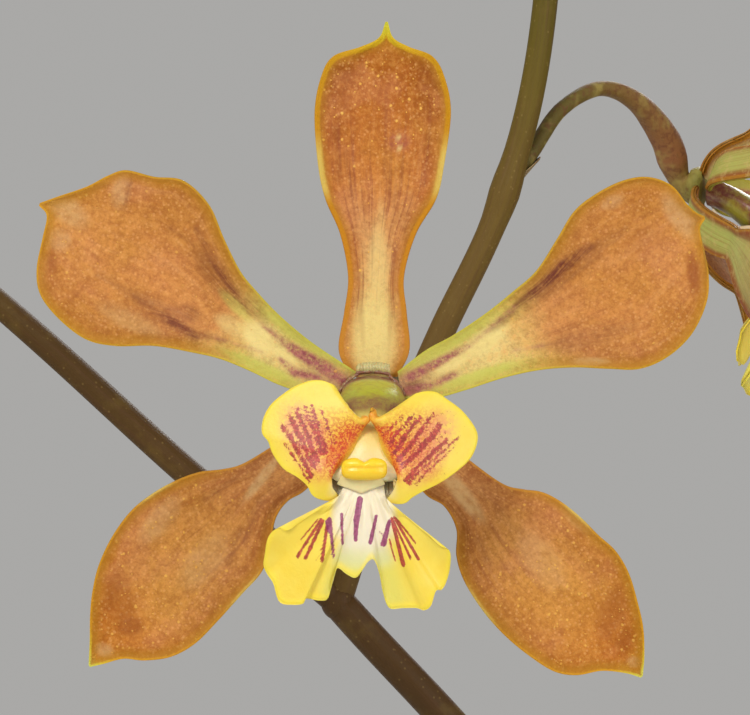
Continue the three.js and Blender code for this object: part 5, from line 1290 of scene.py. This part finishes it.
for k, (on, share, way, stalk, length) in enumerate(BUDS):
    foot = branch(on)(np.array([share]))[0]
    aim = unit(way)
    neck = foot + aim * stalk
    nod = unit(aim + np.array([0, 0, -0.35]))
    tip = neck + nod * length
    line = evened(lambda t, a=foot, b=neck, c=tip: spline([a, b, c], t))
    start = stalk / (stalk + length)
    t = np.concatenate([np.linspace(0, start, 16, endpoint=False), np.linspace(start, 1, 40)])
    ang = around(BUD_SIDES)
    s = np.clip((t - start) / (1 - start), 0, 1)
    swell = np.sin(math.pi * s) ** 0.8 * (1 - 0.1 * s)
    r = np.maximum(PEDICEL_RADIUS * (1 - 0.6 * smooth(t, 0.9, 1)), swell * length * 0.26)[:, None]
    off = ((ang * 3 / TAU) % 1) - 0.5
    groove = 1 - 0.07 * np.exp(-(off / 0.07) ** 2)[None] * smooth(s, 0.05, 0.3)[:, None]
    seam = np.exp(-(off / 0.06) ** 2)[None] * smooth(s, 0.1, 0.4)[:, None]
    grow = np.where(t < start, t / start * 0.3, 0.3 + 0.7 * s)
    tube(buds, line(t), r * groove, BUD_SIDES, 0,
         fields=dict(along=grow[:, None], seam=seam, seed=k * 2.3))
    out = unit(np.cross(aim, np.cross([0, 0, -1.0], aim)))
    bract(scales, foot + out * 0.45, aim, out, 3.6, 1.0, 40 + k)
stem.build("stem_branches", [STEM], "flower_stem")
ovaries.build("stem_pedicels", [OVARY], "flower_stem")
buds.build("stem_buds", [BUD], "flower_stem")
scales.build("stem_bracts", [BRACT], "flower_stem")


# ---------------------------------------------------------------- pseudobulbs, husks and leaves
BULB_RINGS, BULB_SIDES = 84, 72
OUTLINE = np.array([0.52, 0.86, 1, 0.98, 0.86, 0.66, 0.44, 0.27])
for k, bulb in enumerate(BULBS, 1):
    lean = np.array([*bulb["lean"], 0.0])
    points = [(bulb["x"], bulb["y"], BULB_FOOT), (bulb["x"], bulb["y"], BULB_FOOT + bulb["h"] * BELLY),
              (bulb["x"] + lean[0], bulb["y"] + lean[1], BULB_FOOT + bulb["h"])]
    line = evened(lambda t, p=points: spline(p, t))
    t = np.linspace(0, 1, BULB_RINGS)
    ang = around(BULB_SIDES)
    body_r = np.maximum(spline(OUTLINE[:, None], t)[:, 0] * bulb["r"], NECK_RADIUS)
    keep = (smooth(t, 0.05, 0.3) * (1 - smooth(t, 0.8, 1)))[:, None]
    groove = 0.045 * np.cos(5 * ang)[None] + 0.022 * np.cos(13 * ang + k)[None] + 0.012 * np.cos(29 * ang)[None]
    lumps = 0.015 * waves(ang[None] * 2, t[:, None] * 8, 30 + k, 3, 1.0)
    r = body_r[:, None] * (1 + keep * groove + lumps * keep)
    furrow = smooth(-(np.cos(5 * ang) + 0.5 * np.cos(13 * ang + k)), 0.3, 1.2)[None] * keep
    body = Body()
    tube(body, line(t), r, BULB_SIDES, 0, fields=dict(furrow=np.clip(furrow, 0, 1), seed=k * 1.7))
    body.build(f"pseudobulb_{k}_body", [BULB], f"pseudobulb_{k}")
    husks = Body()
    for layer, (low, high, lift) in enumerate([(0.0, 0.34, 0.5), (0.02, 0.5, 0.9)]):
        turn = k * 2.1 + layer * math.pi * 0.9
        s, q = np.meshgrid(np.linspace(0, 1, 34), np.linspace(-1, 1, 44), indexing="ij")
        arc = turn + q * lerp(2.2, 0.9, s ** 1.4)
        top = low + (high - low) * s * (1 - 0.3 * q ** 2 + 0.14 * waves(q * 7, q * 0, 50 + k + layer, 4, 1.5))
        top = np.clip(top, 0, 1)
        c = line(top.ravel()).reshape(*top.shape, 3)
        rr = np.maximum(np.interp(top, t, body_r), NECK_RADIUS) * 1.05 + lift + 0.9 * s ** 3
        rr = rr + 0.25 * waves(arc * 4, s * 3, 60 + k + layer, 3, 1.2)
        p = c + np.stack([rr * np.cos(arc), rr * np.sin(arc), 0 * rr], -1)
        plate(husks, p, 0.3, 0, dict(along=s, round=arc, seed=k + layer * 5.0), 0.4, turn=True)
    husks.build(f"pseudobulb_{k}_husk", [HUSK], None)


def leaf_grid(spec, rows, cols):
    b, heading, length, width, rise, droop = spec
    bulb = BULBS[b]
    out = np.array([math.cos(math.radians(heading)), math.sin(math.radians(heading)), 0])
    side = np.array([-out[1], out[0], 0])
    up = np.array([0, 0, 1.0])
    steps = 48
    slope = math.hypot(*bulb["lean"]) / (bulb["h"] * (1 - BELLY))
    lean_way = math.atan2(bulb["lean"][1], bulb["lean"][0])
    arc = math.radians(heading) + (np.linspace(0, 1, 9) * 2 - 1) * WRAP_REACH - lean_way
    seat = GAP + (WRAP_RADIUS + LEAF_THICK / 2) * slope * np.max(-np.cos(arc))
    top = np.array([bulb["x"] + bulb["lean"][0], bulb["y"] + bulb["lean"][1], BULB_FOOT + bulb["h"]])
    spine = [top + up * seat + out * WRAP_RADIUS]
    pitches = []
    for i in range(steps + 1):
        t = i / steps
        pitch = math.radians(lerp(89, rise, smooth(t, 0, 0.12)) - droop * smooth(t, 0.08, 1.15) * 1.5)
        pitches.append(pitch)
        spine.append(spine[-1] + (out * math.cos(pitch) + up * math.sin(pitch)) * length / steps)
    t = np.linspace(0, 1, rows)
    t = 1 - (1 - t) ** 1.15
    x = t * steps
    centre = np.stack([np.interp(x, np.arange(steps + 2), np.array(spine)[:, c]) for c in range(3)], -1)
    pitch = np.interp(x, np.arange(steps + 1), pitches)
    foot = WRAP_RADIUS * WRAP_REACH
    half = lerp(foot, width / 2, smooth(t, 0.02, 0.42))
    half = half * np.sqrt(np.maximum(1 - ((np.maximum(t, 0.5) - 0.5) / 0.5) ** 3.2, 0.004))
    u = np.linspace(-1, 1, cols)[None]
    inward = -out[None] * np.sin(pitch)[:, None] + up[None] * np.cos(pitch)[:, None]
    bend = lerp(1 / WRAP_RADIUS, 1 / 34, smooth(t, 0.0, 0.3))[:, None]
    reach = u * half[:, None]
    fold = KEEL * (1 - np.exp(-np.abs(reach) / 4)) * smooth(t, 0.1, 0.4)[:, None]
    seed = b * 7 + heading
    ripple = 0.5 * waves(t[:, None] * 9, u * 0.8, int(seed), 3, 1.3) * smooth(t, 0.25, 0.5)[:, None] * u ** 2
    p = centre[:, None] + side * (np.sin(reach * bend) / bend)[..., None]
    p = p + inward[:, None] * ((1 - np.cos(reach * bend)) / bend + fold + ripple)[..., None]
    edge = np.minimum(half[:, None] * (1 - np.abs(u)), (1 - t)[:, None] * length)
    return p, dict(along=t[:, None], across=u, edge=edge, seed=seed * 0.13)


for k, spec in enumerate(LEAVES, 1):
    grid, fields = leaf_grid(spec, max(50, spec[2] * 2 // 5), 21)
    body = Body()
    plate(body, grid, LEAF_THICK * (1 - 0.45 * fields["across"] ** 2), 0, fields, 0.3)
    body.build(f"leaf_{k}_blade", [LEAF], f"leaf_{k}")


# ---------------------------------------------------------------- pot, bark and roots
POT_SIDES, PLUG_SIDES, CHIPS = 168, 96, 560


def inner_radius(z):
    return lerp(POT["foot"], POT["rim"] - POT["step"], z / POT["height"]) - POT["wall"]


def pot_body():
    h, rim, band = POT["height"], POT["rim"], POT["band"]
    wall = rim - POT["step"]
    under = lerp(POT["foot"], wall, (h - band) / h)
    profile = [(0.01, 0), (POT["foot"] - 1.5, 0), (POT["foot"], 1.5), (under, h - band - 0.8),
               (under + 0.6, h - band), (rim - 0.9, h - band), (rim, h - band + 1.3), (rim, h - 1.8),
               (rim - 0.7, h - 0.5), (rim - 2.0, h), (inner_radius(h) + 1.6, h), (inner_radius(h) + 0.3, h - 0.8),
               (inner_radius(h - 3), h - 3), (inner_radius(POT["floor"]), POT["floor"]), (0.01, POT["floor"])]
    pts = []
    for (r0, z0), (r1, z1) in zip(profile, profile[1:]):
        n = max(2, int(math.hypot(r1 - r0, z1 - z0) / 2.2))
        for s in np.linspace(0, 1, n, endpoint=False):
            pts.append((lerp(r0, r1, s), lerp(z0, z1, s)))
    pts.append(profile[-1])
    pts = np.array(pts)
    sides = POT_SIDES
    a = around(sides)
    r = pts[:, 0][:, None] * np.ones(sides)[None]
    z = pts[:, 1][:, None] * np.ones(sides)[None]
    outer = (pts[:, 0] > POT["foot"] - 1) & (np.arange(len(pts)) < len(pts) * 0.7)
    hand = 0.18 * waves(a[None] * 3, z / 14, 71, 3, 0.7) * outer[:, None]
    r = np.minimum(r + hand, POT["rim"])
    worn = np.exp(-((z - h) / 1.6) ** 2) + np.exp(-((z - (h - band)) / 1.2) ** 2) * (r > under)
    verts = np.stack([r * np.cos(a), r * np.sin(a), z], -1)
    body = Body()
    body.add(verts.reshape(-1, 3), [grid_faces(len(pts), sides, 0, False, True)], 0,
             height=z.ravel(), worn=np.clip(worn, 0, 1).ravel())
    body.build("pot_shell", [CLAY], "pot")


pot_body()


def chip(body, centre, size, spin, tone, seed):
    """One rough block of bark."""
    n = 4
    faces, verts = [], []
    g = np.linspace(-1, 1, n)
    a, b = np.meshgrid(g, g, indexing="ij")
    one = np.ones_like(a)
    count = 0
    for p in ((one, a, b), (-one, b, a), (b, one, a), (a, -one, b), (a, b, one), (b, a, -one)):
        verts.append(np.stack(p, -1).reshape(-1, 3))
        faces.append(grid_faces(n, n, count, False))
        count += n * n
    v = np.concatenate(verts)
    r = hashed(seed, 5)
    key = np.round(v * 3).astype(int)
    jitter = {}
    for row in map(tuple, key):
        if row not in jitter:
            jitter[row] = r.uniform(-0.13, 0.13, 3)
    v = v * (1 - 0.16 * (np.abs(v) > 0.99).sum(1, keepdims=True).clip(1) / 3)
    v = v + np.array([jitter[tuple(row)] for row in key])
    v = v * np.array(size) / 2
    ca, sa = np.cos(spin), np.sin(spin)
    rx = np.array([[1, 0, 0], [0, ca[0], -sa[0]], [0, sa[0], ca[0]]])
    ry = np.array([[ca[1], 0, sa[1]], [0, 1, 0], [-sa[1], 0, ca[1]]])
    rz = np.array([[ca[2], -sa[2], 0], [sa[2], ca[2], 0], [0, 0, 1]])
    w = v @ (rz @ ry @ rx).T + np.array(centre)
    body.add(w, faces, 0, tone=np.full(len(v), tone), gx=v[:, 0] * 0.35 + seed * 3.1, gy=v[:, 1] * 2.2)


def bark_body():
    body = Body()
    r = hashed(9, 4)
    foot = POT["floor"] + GAP
    profile = np.array([(0.01, foot), (inner_radius(foot) - GAP, foot), (inner_radius(92) - GAP, 92), (20, 92.4),
                        (0.01, 92.5)])
    sides = PLUG_SIDES
    a = around(sides)
    rr = profile[:, 0][:, None] * np.ones(sides)[None]
    zz = profile[:, 1][:, None] * np.ones(sides)[None]
    verts = np.stack([rr * np.cos(a), rr * np.sin(a), zz], -1).reshape(-1, 3)
    body.add(verts, [grid_faces(len(profile), sides, 0, False, True)], 0, tone=np.full(len(verts), 0.1),
             gx=verts[:, 0] * 0.3, gy=verts[:, 1] * 0.3)
    limit = inner_radius(MEDIUM_TOP) - 1.2
    for k in range(CHIPS):
        rad = limit * math.sqrt((k + 0.5) / CHIPS)
        ang = k * math.pi * (3 - math.sqrt(5))
        x, y = rad * math.cos(ang), rad * math.sin(ang)
        near = min(math.hypot(x - b["x"], y - b["y"]) - b["r"] for b in BULBS)
        size = np.array([r.uniform(7, 15), r.uniform(5, 9.5), r.uniform(2.5, 4.6)])
        spin = np.array([r.uniform(-0.5, 0.5), r.uniform(-0.5, 0.5), r.uniform(0, math.pi)])
        tone = r.uniform(0.15, 0.95)
        reach = math.hypot(size[0], size[1]) / 2 * 0.8
        if near < -2 or rad + reach > limit + 2.5:
            size = size * (0.5 if near >= -2 else 0.0)
        if size[0] <= 0 or rad + size[0] * 0.4 > limit + 1.5:
            continue
        z = 93.6 + 1.6 * (k % 3) * 0.9 + r.uniform(-0.4, 0.8)
        if near < 3:
            z = min(z, 94.2)
        chip(body, (x, y, z), size, spin, tone, k)
    body.build("bark_mix", [BARK], "medium", shade=False)


bark_body()


RHIZOME_RADIUS, RHIZOME_SIDES, ROOT_RADIUS, ROOT_SIDES = 3.2, 20, 1.5, 14


def rhizome_body():
    body = Body()
    level = MEDIUM_TOP + GAP + RHIZOME_RADIUS
    for run, rings in ((RHIZOME_RUN, 150), (SPUR, 24)):
        p = [(x, y, level) for x, y in run]
        line = evened(lambda t, q=p: spline(q, t))
        t = np.linspace(0, 1, rings)
        ang = around(RHIZOME_SIDES)
        joints = (t * line.length / 6.5) % 1
        r = 3.0 + 0.28 * smooth(joints, 0.0, 0.85) - 0.28 * smooth(joints, 0.9, 1.0)
        r = r * (1 - 0.4 * smooth(np.abs(t - 0.5), 0.47, 0.5))
        r = r[:, None] + 0.1 * waves(ang[None] * 2, t[:, None] * 40, 91, 3, 1.2)
        tube(body, line(t), r, RHIZOME_SIDES, 0, fields=dict(tip=0.0, scale=0.8))
    for k, (x, y, heading) in enumerate(BURIED_ROOTS):
        way = np.array([math.cos(math.radians(heading)), math.sin(math.radians(heading))])
        p = [(x - way[0] * 9, y - way[1] * 9, level), (x, y, level + 2.5),
             (x + way[0] * 7, y + way[1] * 7, level - 1.5), (x + way[0] * 9, y + way[1] * 9, level - 13)]
        root(body, p, 40, 100 + k, False)
    for k, (start, by, heading, drop, sway) in enumerate(HANGING_ROOTS):
        out, over = POT["rim"] + ROOT_RADIUS + 0.7, POT["height"] + ROOT_RADIUS + 2.0

        def place(rad, z, turn=0.0):
            a = math.radians(heading + turn)
            return (rad * math.cos(a), rad * math.sin(a), z)

        p = [start, by, place(inner_radius(POT["height"]) - 4, over + 1.5), place(out - 2.2, over),
             place(out + 0.2, POT["height"] - 8), place(out + 0.4, POT["height"] - drop / 2, sway / 2),
             place(out - 1.2, POT["height"] - drop, sway)]
        root(body, p, 170, 110 + k, True)
    body.build("roots", [ROOT], "rhizome")


def root(body, points, rings, seed, tip):
    line = evened(lambda t: spline(points, t))
    t = np.linspace(0, 1, rings)
    ang = around(ROOT_SIDES)
    r = ROOT_RADIUS * (1 - 0.3 * smooth(t, 0.9, 1)) * (1 - 0.5 * smooth(t, 0.985, 1.0))
    r = r[:, None] * (1 + 0.07 * waves(ang[None] * 2, t[:, None] * line.length / 5, seed, 3, 1.4))
    end = smooth(t, 0.93, 0.98)[:, None] * tip
    tube(body, line(t), r, ROOT_SIDES, 0, fields=dict(tip=end, scale=0.0))


rhizome_body()

# ---------------------------------------------------------------- stage, light and camera
floor_mesh = bpy.data.meshes.new("floor")
FLOOR_RADIUS, FLOOR_LEVEL, FLOOR_SIDES = 4.0, -0.0004, 96
ring = [(FLOOR_RADIUS * math.cos(a), FLOOR_RADIUS * math.sin(a), FLOOR_LEVEL) for a in around(FLOOR_SIDES)]
floor_mesh.from_pydata(ring, [], [tuple(range(FLOOR_SIDES))])
floor = bpy.data.objects.new("floor", floor_mesh)
bpy.context.scene.collection.objects.link(floor)
look = Look("floor_skin", 0.8)
look.colour(look.mix(look.noise(look.place(), 0.01, 3, 0.5), rgb(214, 212, 207), rgb(222, 220, 215)))
floor_mesh.materials.append(look.mat)

world = bpy.data.worlds.new("studio")
bpy.context.scene.world = world
world.use_nodes = True
sky = world.node_tree.nodes["Background"].inputs
sky["Color"].default_value = (0.80, 0.79, 0.77, 1)
sky["Strength"].default_value = 0.5


def softbox(name, at, target, size, power, colour):
    data = bpy.data.lights.new(name, "AREA")
    data.shape = "DISK"
    data.size = size
    data.energy = power
    data.color = colour
    ob = bpy.data.objects.new(name, data)
    bpy.context.scene.collection.objects.link(ob)
    ob.location = at
    ob.rotation_euler = (Vector(target) - Vector(at)).to_track_quat("-Z", "Y").to_euler()


softbox("key", (-0.75, -1.5, 1.55), (-0.02, 0, 0.42), 0.7, 21.5, (1.0, 0.97, 0.92))
softbox("fill", (1.1, -1.2, 0.9), (0, 0, 0.4), 0.9, 8, (1.0, 0.98, 0.96))
softbox("rim", (0.3, 1.5, 1.3), (0, 0, 0.4), 0.9, 14, (0.97, 0.98, 1.0))

CAMERA_AT, CAMERA_LENS = (-0.02978, -0.390, 0.50205), 225.1
camera_data = bpy.data.cameras.new("camera")
camera = bpy.data.objects.new("camera", camera_data)
bpy.context.scene.collection.objects.link(camera)
camera_data.sensor_width = 36
camera_data.lens = CAMERA_LENS
camera_data.clip_start = 0.01
camera.location = CAMERA_AT
camera.rotation_euler = (math.radians(90), 0, 0)
bpy.context.scene.camera = camera
bpy.context.scene.view_settings.view_transform = "Standard"

bpy.context.view_layer.update()
